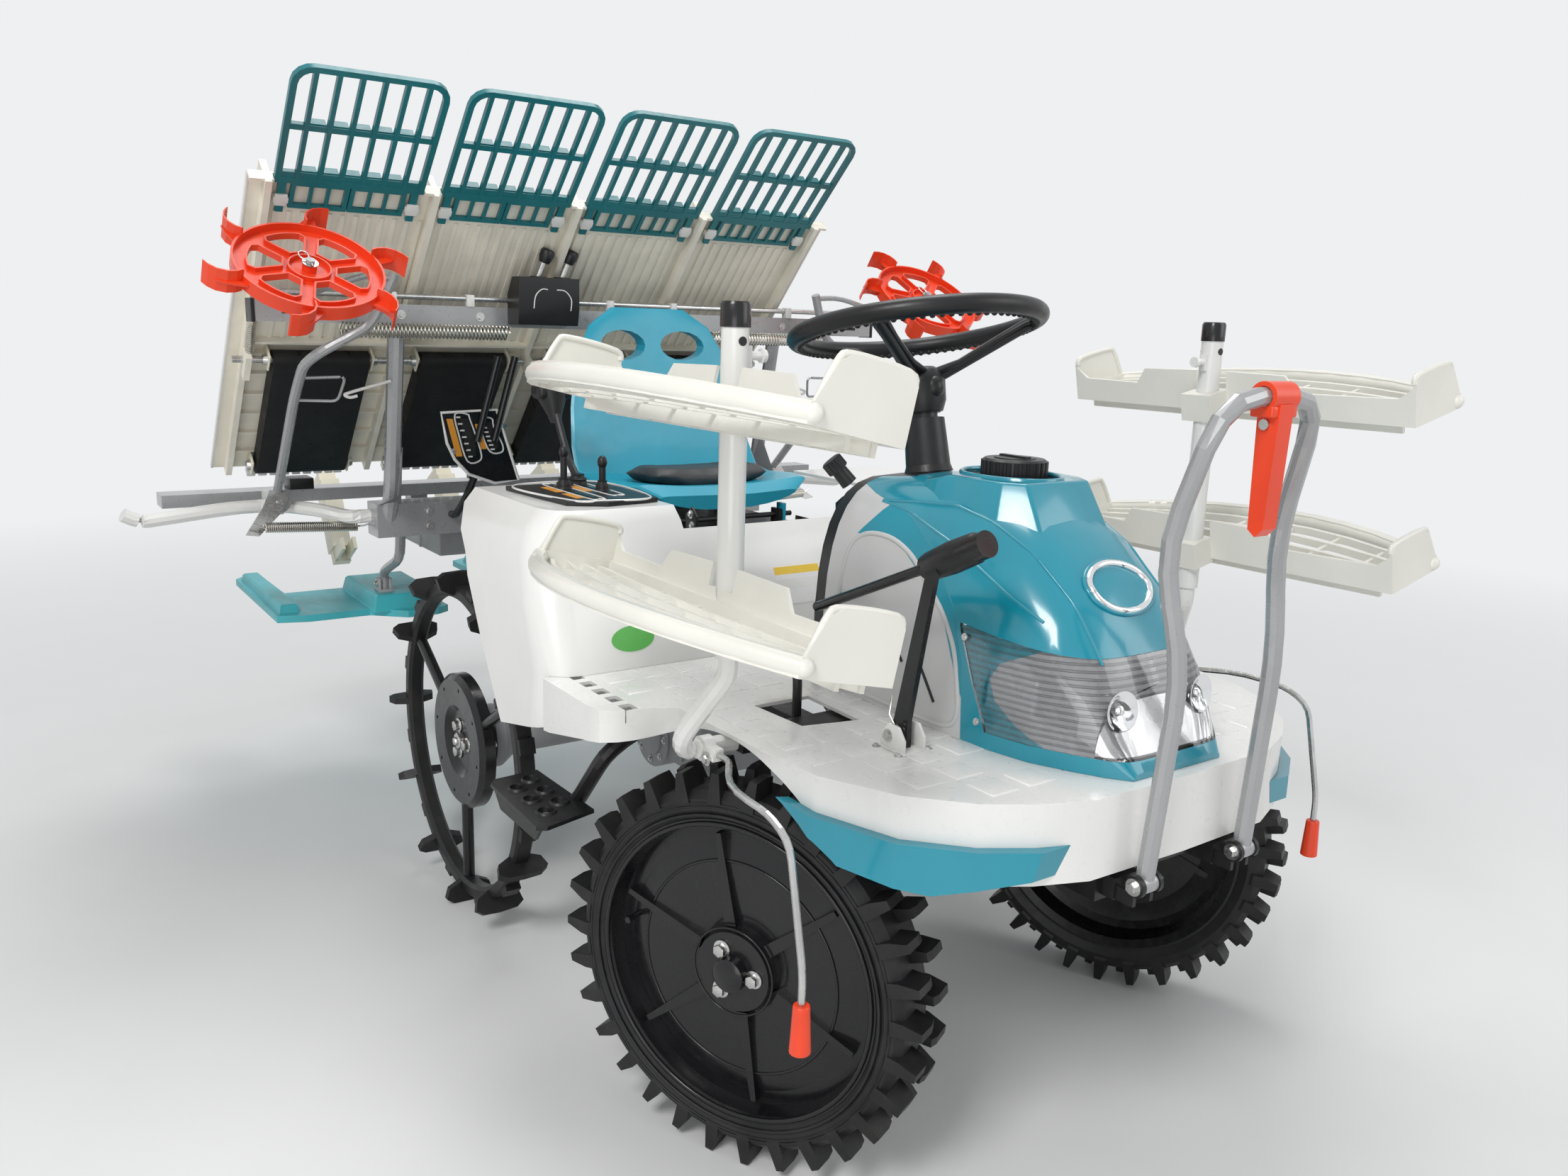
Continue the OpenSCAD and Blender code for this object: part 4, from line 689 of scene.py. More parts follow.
@dataclass
class CoilSpring:
    """A close-wound steel spring between two points."""

    name: str
    body: str
    start: Vector
    end: Vector
    radius: float
    wire: float
    turns: int

    def build(self, finish: Finish) -> bpy.types.Object:
        """Winds the coil and closes its ends.

        Args:
            finish: what the wire wears.

        Returns:
            The spring.
        """
        form = Form()
        along = self.end - self.start
        matrix = Form.facing(self.start, along)
        made = bmesh.ops.create_circle(form.bm, cap_ends=False, segments=6, radius=self.wire,
                                       matrix=Matrix.Translation((self.radius, 0, 0)) @ Matrix.Rotation(math.pi / 2, 4, "X"))
        edges = list({e for v in made["verts"] for e in v.link_edges})
        steps = 12 * self.turns
        bmesh.ops.spin(form.bm, geom=made["verts"] + edges, cent=(0, 0, 0), axis=(0, 0, 1), angle=math.tau * self.turns,
                       dvec=(0, 0, along.length / steps), steps=steps, use_merge=False)
        bmesh.ops.holes_fill(form.bm, edges=[e for e in form.bm.edges if e.is_boundary], sides=0)
        form.move(matrix, form.bm.verts)
        return form.piece(self.name, self.body, finish)


@dataclass
class WheelBolts:
    """Hexagon bolts round the middle of a wheel."""

    name: str
    body: str
    middle: Vector
    axis: Vector
    ring: float
    count: int
    across: float
    height: float
    cap: float = 0.0
    start: float = 0.0

    def build(self, finish: Finish) -> bpy.types.Object:
        """Stands the bolts, with their washers, on the wheel's hub.

        Args:
            finish: what the bolts wear.

        Returns:
            The bolts as one piece.
        """
        form = Form()
        for i in range(self.count):
            turn = self.start + math.tau * i / self.count
            place = Vector((self.ring * math.cos(turn), self.ring * math.sin(turn), 0))
            form.rod(place, place + Vector((0, 0, self.height * 0.25)), self.across * 0.8, sides=20)
            form.rod(place, place + Vector((0, 0, self.height)), self.across * 0.58, sides=6)
        if self.cap:
            form.rod(Vector((0, 0, 0)), Vector((0, 0, self.height * 1.5)), self.cap, self.cap * 0.86, sides=28)
        form.soften(self.height * 0.08, 2)
        form.move(Form.facing(self.middle, self.axis), form.bm.verts)
        return form.piece(self.name, self.body, finish)


@dataclass
class SeatPad:
    """The charcoal pan cushion, blown up softly."""

    body: str = "seat_body"
    node: str = "seat_cushion"
    voxel: float = 0.006
    swell: float = 0.010

    def build(self, palette: Palette, nodes: dict[str, bpy.types.Object]) -> bpy.types.Object:
        """Makes the pad from a copy of its CAD solid.

        Args:
            palette: the machine's finishes.
            nodes: the CAD nodes by name.

        Returns:
            The pad.
        """
        mesh = nodes[self.node].data.copy()
        pad = bpy.data.objects.new("seat_pad", mesh)
        bpy.context.scene.collection.objects.link(pad)
        bm = bmesh.new()
        bm.from_mesh(mesh)
        bmesh.ops.remove_doubles(bm, verts=bm.verts, dist=1e-5)
        bmesh.ops.recalc_face_normals(bm, faces=bm.faces)
        bm.to_mesh(mesh)
        bm.free()
        bpy.context.view_layer.objects.active = pad
        remesh = pad.modifiers.new("remesh", "REMESH")
        remesh.mode = "VOXEL"
        remesh.voxel_size = self.voxel
        self.bake(pad, "remesh")
        self.blow(pad)
        smooth = pad.modifiers.new("smooth", "SMOOTH")
        smooth.iterations = 6
        smooth.factor = 0.5
        self.bake(pad, "smooth")
        pad.data.materials.clear()
        pad.data.materials.append(palette.vinyl.make())
        for polygon in pad.data.polygons:
            polygon.use_smooth = True
        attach(pad, self.body)
        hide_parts(self.node)
        return pad

    def bake(self, obj: bpy.types.Object, name: str) -> None:
        """Applies one modifier to a mesh."""
        bpy.ops.object.select_all(action="DESELECT")
        obj.select_set(True)
        bpy.context.view_layer.objects.active = obj
        bpy.ops.object.modifier_apply(modifier=name)

    def blow(self, pad: bpy.types.Object) -> None:
        """Swells the pad with Blender's Cloth under pressure and caps how far it grows.

        Args:
            pad: the remeshed pad.
        """
        rest = [v.co.copy() for v in pad.data.vertices]
        cloth = pad.modifiers.new("cloth", "CLOTH")
        cloth.settings.use_pressure = True
        cloth.settings.uniform_pressure_force = 4
        cloth.settings.effector_weights.gravity = 0
        scene = bpy.context.scene
        for frame in range(1, 21):
            scene.frame_set(frame)
        self.bake(pad, "cloth")
        scene.frame_set(1)
        for vert, old in zip(pad.data.vertices, rest):
            step = vert.co - old
            if step.length > self.swell:
                vert.co = old + step.normalized() * self.swell


class Skin:
    """The outer surface of some CAD nodes, on which trim is laid."""

    def __init__(self, nodes: Sequence[bpy.types.Object]) -> None:
        """Gathers the nodes' faces.

        Args:
            nodes: the CAD nodes.
        """
        bm = bmesh.new()
        for node in nodes:
            bm.from_mesh(node.data)
        self.tree = BVHTree.FromBMesh(bm)
        bm.free()

    def land(self, start: Vector, along: Vector, lift: float = 0.0) -> Optional[Vector]:
        """Gives the point where a line from start meets the surface, or None.

        Args:
            start: where the line begins.
            along: its direction.
            lift: distance that the point is drawn back against the line.

        Returns:
            The point.
        """
        place, _, _, _ = self.tree.ray_cast(start, along.normalized())
        return None if place is None else place - along.normalized() * lift

    def lay(self, starts: Sequence[Vector], along: Vector, lift: float = 0.0) -> list[Vector]:
        """Lays a line of points on the surface and leaves out those that miss it."""
        landed = (self.land(start, along, lift) for start in starts)
        return [place for place in landed if place is not None]


def curve(points: Sequence[Vector], steps: int = 6, closed: bool = False) -> list[Vector]:
    """Draws a smooth line through points.

    Args:
        points: points that the line passes.
        steps: number of pieces between two points.
        closed: whether the line comes back to its first point.

    Returns:
        The line's points.
    """
    count = len(points)
    made: list[Vector] = []
    for i in range(count if closed else count - 1):
        a, b, c, d = (points[(i + k) % count] if closed else points[min(max(i + k, 0), count - 1)] for k in (-1, 0, 1, 2))
        for k in range(steps):
            t = k / steps
            made.append(0.5 * (2 * b + (c - a) * t + (2 * a - 5 * b + 4 * c - d) * t * t + (3 * b - a - 3 * c + d) * t ** 3))
    if not closed:
        made.append(points[-1].copy())
    return made


def oval(middle: Vector, u: Vector, v: Vector, count: int = 40) -> list[Vector]:
    """Gives the points of an oval with the half axes u and v."""
    return [middle + u * math.cos(math.tau * i / count) + v * math.sin(math.tau * i / count) for i in range(count)]


def screw(form: Form, place: Vector, axis: Vector, across: float, height: float = 0.004) -> None:
    """Adds a hexagon screw with its washer to a form.

    Args:
        form: the form that takes the screw.
        place: foot of the screw.
        axis: direction of the screw.
        across: width of its head.
        height: height of its head.
    """
    axis = axis.normalized()
    form.rod(place - axis * 0.001, place + axis * 0.0015, across * 0.85, sides=16)
    form.rod(place, place + axis * height, across * 0.55, across * 0.5, sides=6)


@dataclass
class HoodTrim:
    """The hood's raised filler shelf, its creases, badge ring, side relief and lamps."""

    skin: Skin
    palette: Palette
    cap_x: float = 942
    shelf_z: float = 936
    floor_z: float = 931.6
    body: str = "chassis"

    def build(self, nodes: dict[str, bpy.types.Object]) -> None:
        """Builds the trim in order.

        Args:
            nodes: the CAD nodes by name.
        """
        self.shelf()
        self.filler()
        self.badge()
        self.creases()
        self.side_relief()
        self.lamps(nodes)

    def shelf(self) -> None:
        """Raises the flat shelf round the fuel filler, with its steep front, and lays a black disc in the well as
        painted shade.
        """
        foot = [(835, 100, 876), (905, 118, 872), (1012, 106, 862), (1068, 66, 866)]
        top = [(850, 82, 924), (905, 88, self.shelf_z), (996, 80, self.shelf_z), (1026, 60, self.shelf_z)]
        form = Form()
        rings = []
        for outline in (foot, top):
            right = [at(x, -y, z) for x, y, z in outline]
            left = [at(x, y, z) for x, y, z in reversed(outline)]
            rings.append(form.loop(right + left))
        well = oval(at(937, 0, self.shelf_z), Vector((0.078, 0, 0)), Vector((0, 0.06, 0)), 32)
        rings.append(form.loop(well))
        rings.append(form.loop([p - Vector((0, 0, 0.012)) for p in well]))
        for a, b in zip(rings, rings[1:]):
            bmesh.ops.bridge_loops(form.bm, edges=a + b)
        form.soften(0.004, 3, 24)
        form.piece("hood_shelf", self.body, self.palette.teal)
        Form().tube(oval(at(937, 0, self.shelf_z), Vector((0.079, 0, 0)), Vector((0, 0.061, 0)), 48), 0.0035, 8, True).piece(
            "filler_rim", self.body, self.palette.teal)
        # Painted shade: a thin black disc on the well's floor stands in for the shade of the recess round the fuel cap.
        well_shade_disc = Form()
        well_shade_disc.bm.faces.new([well_shade_disc.bm.verts.new(p) for p in oval(at(937, 0, self.floor_z), Vector((0.076, 0, 0)), Vector((0, 0.058, 0)))])
        made = bmesh.ops.extrude_face_region(well_shade_disc.bm, geom=list(well_shade_disc.bm.faces), use_keep_orig=True)
        bmesh.ops.translate(well_shade_disc.bm, vec=(0, 0, -0.004), verts=[v for v in made["geom"] if isinstance(v, bmesh.types.BMVert)])
        well_shade_disc.piece("filler_well", self.body, self.palette.black_plastic)

    def filler(self) -> None:
        """Makes the knurled fuel cap and the two pole caps that stand for the caps node."""
        form = Form()
        low, high, radius, lobes = 932, 957, 0.0445, 26
        form.rod(at(self.cap_x, 0, low), at(self.cap_x, 0, high), radius, sides=52)
        for i in range(lobes):
            turn = math.tau * i / lobes
            spot = at(self.cap_x, 0, low) + Vector((math.cos(turn), math.sin(turn), 0)) * (radius - 0.001)
            form.rod(spot, spot + Vector((0, 0, (high - low) / 1000)), 0.0038, sides=8)
        form.rod(at(self.cap_x, 0, high), at(self.cap_x, 0, high + 3), 0.046, 0.042, 40)
        form.rod(at(self.cap_x, 0, high + 3), at(self.cap_x, 0, high + 4.5), 0.03, 0.029, 40)
        form.block(at(self.cap_x - 26, -5, high + 3), at(self.cap_x + 26, 5, high + 7))
        form.piece("fuel_cap", self.body, self.palette.black_plastic, smooth=30)
        caps = Form()
        profile = [(0.0, 0.0), (0.0185, 0.0), (0.0185, 0.026), (0.0165, 0.03), (0.0, 0.0302)]
        for side in Side:
            caps.lathe(profile, at(917, 457 * side.value, 1129), Vector((0, 0, 1)), 40)
        caps.piece("pole_caps", self.body, self.palette.black_gloss, ["caps"])

    def badge(self) -> None:
        """Lays a plain bright ring on the hood's nose."""
        middle = at(1149, 0, 817)
        down = Vector((0.6, 0, -0.8))
        out = Vector((0.8, 0, 0.6))
        for name, grow, radius, finish in (("badge_ring", 1.0, 0.0048, self.palette.chrome), ("badge_seat", 1.13, 0.003, self.palette.teal)):
            ring = oval(middle + out * 0.1, Vector((0, 0.054 * grow, 0)), down * 0.036 * grow)
            Form().tube(self.skin.lay(ring, -out, 0.001), radius, 10, True).piece(name, self.body, finish)

    def creases(self) -> None:
        """Lays the hood's long highlights as low folds."""
        upper = [(800, 925), (874, 915), (947, 897), (1017, 872), (1101, 822), (1159, 776), (1196, 742)]
        lower = [(800, 886), (862, 880), (909, 868), (975, 848), (1056, 812), (1131, 776)]
        form = Form()
        for side in Side:
            s = side.value
            above = curve([at(x, (118 - (x - 800) * 0.09) * s, 1100) for x, _ in upper])
            form.tube(self.skin.lay(above, Vector((0, 0, -1)), -0.0012), 0.0026, 8)
            beside = curve([at(x, 400 * s, z) for x, z in lower])
            form.tube(self.skin.lay(beside, Vector((0, -s, 0)), -0.0012), 0.0026, 8)
        form.piece("hood_folds", self.body, self.palette.teal, smooth=60)

    def side_relief(self) -> None:
        """Raises the kidney field on each side panel and cuts its dark slits."""
        field_line = [(763, 700), (766, 800), (790, 836), (845, 842), (900, 826), (944, 795), (985, 760), (1012, 722),
                      (1026, 676), (1030, 632), (1010, 612), (940, 610), (800, 612), (768, 630)]
        slits = [[(788, 717), (797, 700)], [(822, 718), (830, 702)], [(940, 700), (962, 672), (986, 638)], [(900, 700), (917, 678)]]
        for side in Side:
            s = side.value
            inward = Vector((0, -s, 0))
            line = self.skin.lay(curve([at(x, 400 * s, z) for x, z in field_line], 5, True), inward, -0.001)
            Form().tube(line, 0.004, 8, True).piece(f"side_field_{side.word}", self.body, self.palette.light_grey, smooth=60)
            dark = Form()
            for slit in slits:
                dark.tube(self.skin.lay(curve([at(x, 400 * s, z) for x, z in slit], 5), inward, -0.001), 0.003, 8)
            dark.piece(f"side_slits_{side.word}", self.body, self.palette.black_plastic)

    def lamps(self, nodes: dict[str, bpy.types.Object]) -> None:
        """Backs the lamp glass with the teal body and a silver ribbed field, and sets the bulbs.

        Args:
            nodes: the CAD nodes by name.
        """
        form = Form()
        form.bm.from_mesh(nodes["lamp_lens"].data)
        bmesh.ops.remove_doubles(form.bm, verts=form.bm.verts, dist=2e-5)
        bmesh.ops.bisect_plane(form.bm, geom=form.bm.verts[:] + form.bm.edges[:] + form.bm.faces[:], dist=1e-6,
                               plane_co=at(1218, 0, 700), plane_no=(1, 0, 0), clear_outer=True)
        for vert in form.bm.verts:
            vert.co.y -= math.copysign(0.006, vert.co.y)
        bmesh.ops.holes_fill(form.bm, edges=[e for e in form.bm.edges if e.is_boundary], sides=0)
        form.piece("lamp_back", self.body, self.palette.lamp_ribbed)
        for side in Side:
            s = side.value
            form = Form()
            form.lathe([(0.006, 0.0), (0.024, 0.014), (0.026, 0.014), (0.008, -0.002)], at(1216, 76 * s, 678), Vector((1, 0.1 * s, 0.1)), 32)
            form.ball(at(1222, 76 * s, 679), 0.007)
            form.piece(f"lamp_bulb_{side.word}", self.body, self.palette.chrome)
            pins = Form()
            for x, z in ((1030, 739), (1066, 633)):
                spot = self.skin.land(at(x, 400 * s, z), Vector((0, -s, 0)))
                screw(pins, spot, Vector((0, s, 0.2)), 0.006, 0.0025)
            pins.piece(f"lamp_screws_{side.word}", self.body, self.palette.zinc)


@dataclass
class DeckTrim:
    """Raised pads on the white floor, the lever's bracket and grip, and the pedals' ribs."""

    skin: Skin
    palette: Palette
    pitch: float = 0.062
    pad: float = 0.046
    height: float = 0.0013
    body: str = "chassis"

    def build(self) -> None:
        """Builds the trim in order."""
        self.pads()
        self.lever_bracket()
        self.lever_grip()
        self.pedal_ribs()

    def flat_here(self, x: float, y: float, half: float) -> bool:
        """Tells whether a square of the floor is whole and level."""
        for dx in (-half, -half / 3, half / 3, half):
            for dy in (-half, -half / 3, half / 3, half):
                spot = self.skin.land(Vector((x + dx, y + dy, 0.75)), Vector((0, 0, -1)))
                if spot is None or abs(spot.z - 0.6) > 0.0015:
                    return False
        return True

    def pads(self) -> None:
        """Stands a low square pad wherever the floor has room for one."""
        form = Form()
        reach = 10
        for i in range(-12, 24):
            for j in range(-reach, reach + 1):
                x, y = i * self.pitch, j * self.pitch
                if not self.flat_here(x, y, self.pad / 2 + 0.008):
                    continue
                bmesh.ops.create_cone(form.bm, cap_ends=True, segments=4, radius1=self.pad * 0.72, radius2=self.pad * 0.66,
                                      depth=self.height, matrix=Matrix.Translation((x, y, 0.6 + self.height / 2)) @ Matrix.Rotation(math.pi / 4, 4, "Z"))
        form.soften(0.0006, 2, 30)
        form.piece("deck_pads", self.body, self.palette.deck_white)

    def lever_bracket(self) -> None:
        """Bolts the white bracket of the stand lever to the floor."""
        form = Form()
        for y in (-272, -238):
            form.plate([at(1000, y, 600), at(1048, y, 600), at(1048, y, 618), at(1036, y, 634), at(1014, y, 634), at(1000, y, 618)], Vector((0, 0.004, 0)))
        form.block(at(996, -276, 600), at(1052, -230, 603))
        form.soften(0.0012)
        form.piece("lever_bracket", self.body, self.palette.white_paint)
        pins = Form()
        screw(pins, at(1016, -272, 618), Vector((0, -1, 0)), 0.010, 0.006)
        pins.rod(at(1016, -268, 618), at(1016, -236, 618), 0.006)
        for x, y in ((1002, -280), (1046, -280), (1002, -228), (1046, -228)):
            screw(pins, at(x, y, 600), Vector((0, 0, 1)), 0.006, 0.004)
        pins.piece("lever_pins", self.body, self.palette.zinc)
        coil = [at(1016, -266 + 1.6 * k / 12, 618) + Vector((0.011 * math.cos(math.tau * k / 12), 0, 0.011 * math.sin(math.tau * k / 12))) for k in range(12 * 6)]
        Form().tube(coil + [at(1000, -258, 640), at(1004, -258, 668)], 0.0013, 6).piece("lever_spring", self.body, self.palette.spring_steel)

    def lever_grip(self) -> None:
        """Rounds a fat moulded grip over the end of the stand lever."""
        form = Form()
        start, end = at(1036, -240, 840), at(1132, -240, 885)
        along = (end - start).normalized()
        up = along.cross(Vector((0, 1, 0))).normalized()
        rings = []
        for t, wide, tall in ((0.0, 0.013, 0.015), (0.08, 0.0175, 0.0185), (0.5, 0.0175, 0.021), (0.9, 0.0165, 0.0195), (1.0, 0.011, 0.012)):
            middle = start.lerp(end, t)
            rings.append(form.loop(oval(middle, Vector((0, wide, 0)), up * tall, 20)))
        for a, b in zip(rings, rings[1:]):
            bmesh.ops.bridge_loops(form.bm, edges=a + b)
        bmesh.ops.holes_fill(form.bm, edges=[e for e in form.bm.edges if e.is_boundary], sides=0)
        form.piece("stand_lever_grip", self.body, self.palette.black_plastic, smooth=60)

    def pedal_ribs(self) -> None:
        """Lays rubber ribs across the two foot pedals."""
        form = Form()
        for side in Side:
            s = side.value
            for k in range(6):
                x = 757 + 8.6 * k
                form.block(at(x, min(239 * s, 291 * s), 678), at(x + 3.6, max(239 * s, 291 * s), 681))
        form.soften(0.0008)
        form.piece("pedal_ribs", self.body, self.palette.black_plastic)


@dataclass
class SteeringTrim:
    """Finger grips under the steering wheel's rim, broad spokes and the hub's housing."""

    palette: Palette
    body: str = "steering_wheel_body"
    radius: float = 0.186
    lean: float = 12

    def build(self) -> None:
        """Builds the trim on the steering axis."""
        lean = math.radians(self.lean)
        axis = Vector((-math.sin(lean), 0, math.cos(lean)))
        centre = at(717, 0, 1134)
        place = Matrix.Translation(centre) @ Matrix.Rotation(-lean, 4, "Y")
        grips = Form()
        count = 84
        for i in range(count):
            turn = math.tau * i / count
            spot = Vector((self.radius * 0.972 * math.cos(turn), self.radius * 0.972 * math.sin(turn), -0.0115))
            bmesh.ops.create_uvsphere(grips.bm, u_segments=7, v_segments=5, radius=0.0052, matrix=Matrix.Translation(spot))
        grips.move(place, grips.bm.verts)
        grips.piece("rim_grips", self.body, self.palette.black_plastic)
        spokes = Form()
        for turn in (60, 180, 300):
            angle = math.radians(turn)
            out = Vector((math.cos(angle), math.sin(angle), 0))
            side = Vector((-out.y, out.x, 0))
            line = [(0.018, 0.021, -0.070), (0.06, 0.015, -0.058), (0.12, 0.012, -0.028), (0.165, 0.015, -0.006), (0.182, 0.024, -0.002)]
            rings = []
            for reach, wide, high in line:
                middle = out * reach + Vector((0, 0, high))
                rise = (out * -0.35 + Vector((0, 0, 1))).normalized()
                rings.append(spokes.loop([middle + side * wide, middle + side * wide * 0.8 + rise * 0.006, middle - side * wide * 0.8 + rise * 0.006,
                                          middle - side * wide, middle - side * wide * 0.8 - rise * 0.004, middle + side * wide * 0.8 - rise * 0.004]))
            for a, b in zip(rings, rings[1:]):
                bmesh.ops.bridge_loops(spokes.bm, edges=a + b)
        bmesh.ops.holes_fill(spokes.bm, edges=[e for e in spokes.bm.edges if e.is_boundary], sides=0)
        spokes.move(place, spokes.bm.verts)
        spokes.soften(0.0015, 2, 30)
        spokes.piece("wheel_spokes", self.body, self.palette.black_plastic)
        hub = Form()
        hub.lathe([(0.0, -0.128), (0.030, -0.128), (0.036, -0.112), (0.037, -0.082), (0.031, -0.066), (0.022, -0.06), (0.0, -0.059)], centre, axis, 40)
        for turn in (0, 120, 240):
            angle = math.radians(turn)
            spot = centre + place.to_3x3() @ Vector((0.026 * math.cos(angle), 0.026 * math.sin(angle), -0.094))
            hub.ball(spot, 0.017, (1, 1, 1.15))
        hub.piece("wheel_hub_housing", self.body, self.palette.black_plastic, smooth=50)
        collar = Form()
        collar.lathe([(0.0, -0.29), (0.037, -0.29), (0.034, -0.2), (0.031, -0.138), (0.0, -0.138)], centre, axis, 40)
        collar.piece("column_shroud", "chassis", self.palette.black_plastic)


@dataclass
class ControlTrim:
    """White lines, gates, bare label plates, knobs and boots of the lever panel."""

    palette: Palette
    top_z: float = 840.3
    body: str = "chassis"

    def build(self) -> None:
        """Builds the panel's trim."""
        z = self.top_z
        lines = Form()
        border = [(138, -420), (332, -402), (362, -352), (350, -258), (138, -258)]
        lines.tube(curve([at(x, y, z) for x, y in border], 8, True), 0.0019, 6, True)
        for x0, x1, y in ((150, 330, -352), (158, 300, -300)):
            gate = [(x0, y - 13), (x1, y - 13), (x1 + 12, y), (x1, y + 13), (x0, y + 13), (x0 - 10, y)]
            lines.tube(curve([at(a, b, z) for a, b in gate], 6, True), 0.0014, 6, True)
        lines.piece("panel_lines", self.body, self.palette.white_paint)
        gates = Form()
        for x0, x1, y in ((160, 325, -352), (160, 290, -300)):
            gates.block(at(x0, y - 5, z - 1), at(x1, y + 5, z + 0.9))
        gates.soften(0.0004)
        gates.piece("panel_gates", self.body, self.palette.black_gloss)
        labels = Form()
        for x0, x1, y in ((176, 240, -376), (262, 320, -376), (180, 250, -326)):
            labels.block(at(x0, y - 7, z - 1), at(x1, y + 7, z + 0.7))
        labels.piece("panel_label_plates", self.body, self.palette.label_orange)
        boots = Form()
        for x, y, r in ((150, -300, 0.019), (200, -350, 0.015), (250, -300, 0.013)):
            boots.lathe([(0.0, 0.0), (r, 0.0), (r * 0.85, 0.006), (r * 0.9, 0.009), (r * 0.62, 0.014), (r * 0.66, 0.018), (0.0, 0.02)], at(x, y, z), Vector((0, 0, 1)), 28)
        for x, y, top in ((200, -350, 905), (250, -300, 890)):
            boots.ball(at(x, y, top), 0.0085, (1, 1, 1.4))
        boots.piece("lever_boots", self.body, self.palette.black_plastic, smooth=60)
        knob = Form()
        middle = at(40, -300, 1001)
        knob.block(middle - Vector((0.024, 0.034, 0.016)), middle + Vector((0.022, 0.034, 0.014)))
        knob.soften(0.011, 5, 35)
        knob.rod(at(47, -300, 984), at(56, -300, 950), 0.02, 0.012, 24)
        knob.rod(at(56, -300, 952), at(58, -300, 944), 0.012, 0.010, 24)
        knob.piece("shift_knob", self.body, self.palette.black_plastic, smooth=50)
        dial = Form()
        spot = at(715, -133, 918)
        axis = Vector((-0.35, -0.55, 0.75)).normalized()
        dial.rod(spot - axis * 0.02, spot + axis * 0.008, 0.013, 0.012, 24)
        dial.rod(spot + axis * 0.006, spot + axis * 0.026, 0.0155, 0.0145, 24)
        for i in range(14):
            turn = math.tau * i / 14
            u = axis.orthogonal().normalized()
            v = axis.cross(u)
            edge = spot + (u * math.cos(turn) + v * math.sin(turn)) * 0.0145
            dial.rod(edge + axis * 0.007, edge + axis * 0.0245, 0.0024, sides=6)
        dial.piece("choke_knob", self.body, self.palette.black_plastic)


@dataclass
class SeatTrim:
    """Springs, straps and bolts under the seat."""

    palette: Palette
    body: str = "chassis"

    def build(self) -> None:
        """Winds the two seat springs and hangs the bracket plates."""
        for side in Side:
            y = 110 * side.value
            CoilSpring(f"seat_spring_{side.word}", self.body, at(-20, y, 748), at(-20, y, 772), 0.0215, 0.0024, 4).build(self.palette.spring_steel)
        straps = Form()
        for side in Side:
            y = 168 * side.value
            straps.plate([at(318, y, 735), at(346, y, 735), at(352, y, 800), at(334, y, 816), at(312, y, 800)], Vector((0, 0.004, 0)))
            straps.block(at(180, y, 741), at(330, y + 3, 757))
            straps.block(at(180, min(148 * side.value, y), 741), at(196, max(148 * side.value, y), 748))
        straps.soften(0.001)
        straps.piece("seat_straps", self.body, self.palette.black_frame)
        bolts = Form()
        for side in Side:
            s = side.value
            for x, z in ((333, 802), (338, 782), (324, 746)):
                screw(bolts, at(x, 168 * s + (4 if s > 0 else 0), z), Vector((0, s, 0)), 0.009, 0.005)
            for x in (-40, 180):
                screw(bolts, at(x, 136 * s, 748), Vector((0, 0, 1)), 0.010, 0.005)
        bolts.piece("seat_bolts", self.body, self.palette.zinc)


@dataclass
class RackTrim:
    """Fat rounded rims round the four seedling racks, pole pins and pole holes."""

    palette: Palette
    length: float = 625
    end_depth: float = 122
    depth: float = 214
    tilt: float = 13
    rim: float = 0.0112
    body: str = "chassis"

    def on_rack(self, side: Side, level: float, x: float, y: float, z: float) -> Vector:
        """Gives a point of a rack from its own frame.

        Args:
            side: the machine's side.
            level: height of the rack's inner edge, in millimetres.
            x: distance along the rack from its middle.
            y: distance outwards.
            z: height over the rack's floor.

        Returns:
            The point.
        """
        tilt = math.radians(self.tilt)
        out = 474.5 + y * math.cos(tilt) - z * math.sin(tilt)
        return at(942 + x, side.value * out, level + y * math.sin(tilt) + z * math.cos(tilt))

    def build(self) -> None:
        """Sweeps the rims and adds the poles' small parts."""
        for name, level in (("upper", 1018), ("lower", 776)):
            rims = Form()
            for side in Side:
                line = []
                for i in range(25):
                    s = 1 - i / 12
                    y = self.end_depth + (self.depth - self.end_depth) * (1 - s * s) - 7
                    line.append(self.on_rack(side, level, s * (self.length / 2 - 4), y, 11))
                rims.tube(line, self.rim, 14)
                for end in (line[0], line[-1]):
                    rims.ball(end, self.rim * 0.999)
                for x in (-308, 308):
                    foot = [self.on_rack(side, level, x, y, z) for y, z in ((116, 14), (100, 62), (84, 73), (12, 73), (2, 62))]
                    rims.tube(curve(foot, 4), 0.0042, 8)
            rims.piece(f"{name}_rack_rims", self.body, self.palette.cream, smooth=60)
        pins, holes = Form(), Form()
        for side in Side:
            s = side.value
            holes.rod(at(917 - 17.4, 457 * s, 1113), at(917 + 17.4, 457 * s, 1113), 0.0055, sides=20)
            pins.rod(at(917, 440 * s, 1096), at(917, 418 * s, 1096), 0.0055, sides=18)
            pins.rod(at(917, 420 * s, 1096), at(917, 414 * s, 1096), 0.009, 0.008, 22)
            pins.block(at(911, min(446 * s, 436 * s), 1082), at(923, max(446 * s, 436 * s), 1108))
        holes.piece("pole_holes", self.body, self.palette.black_plastic)
        pins.piece("pole_pins", self.body, self.palette.white_paint)


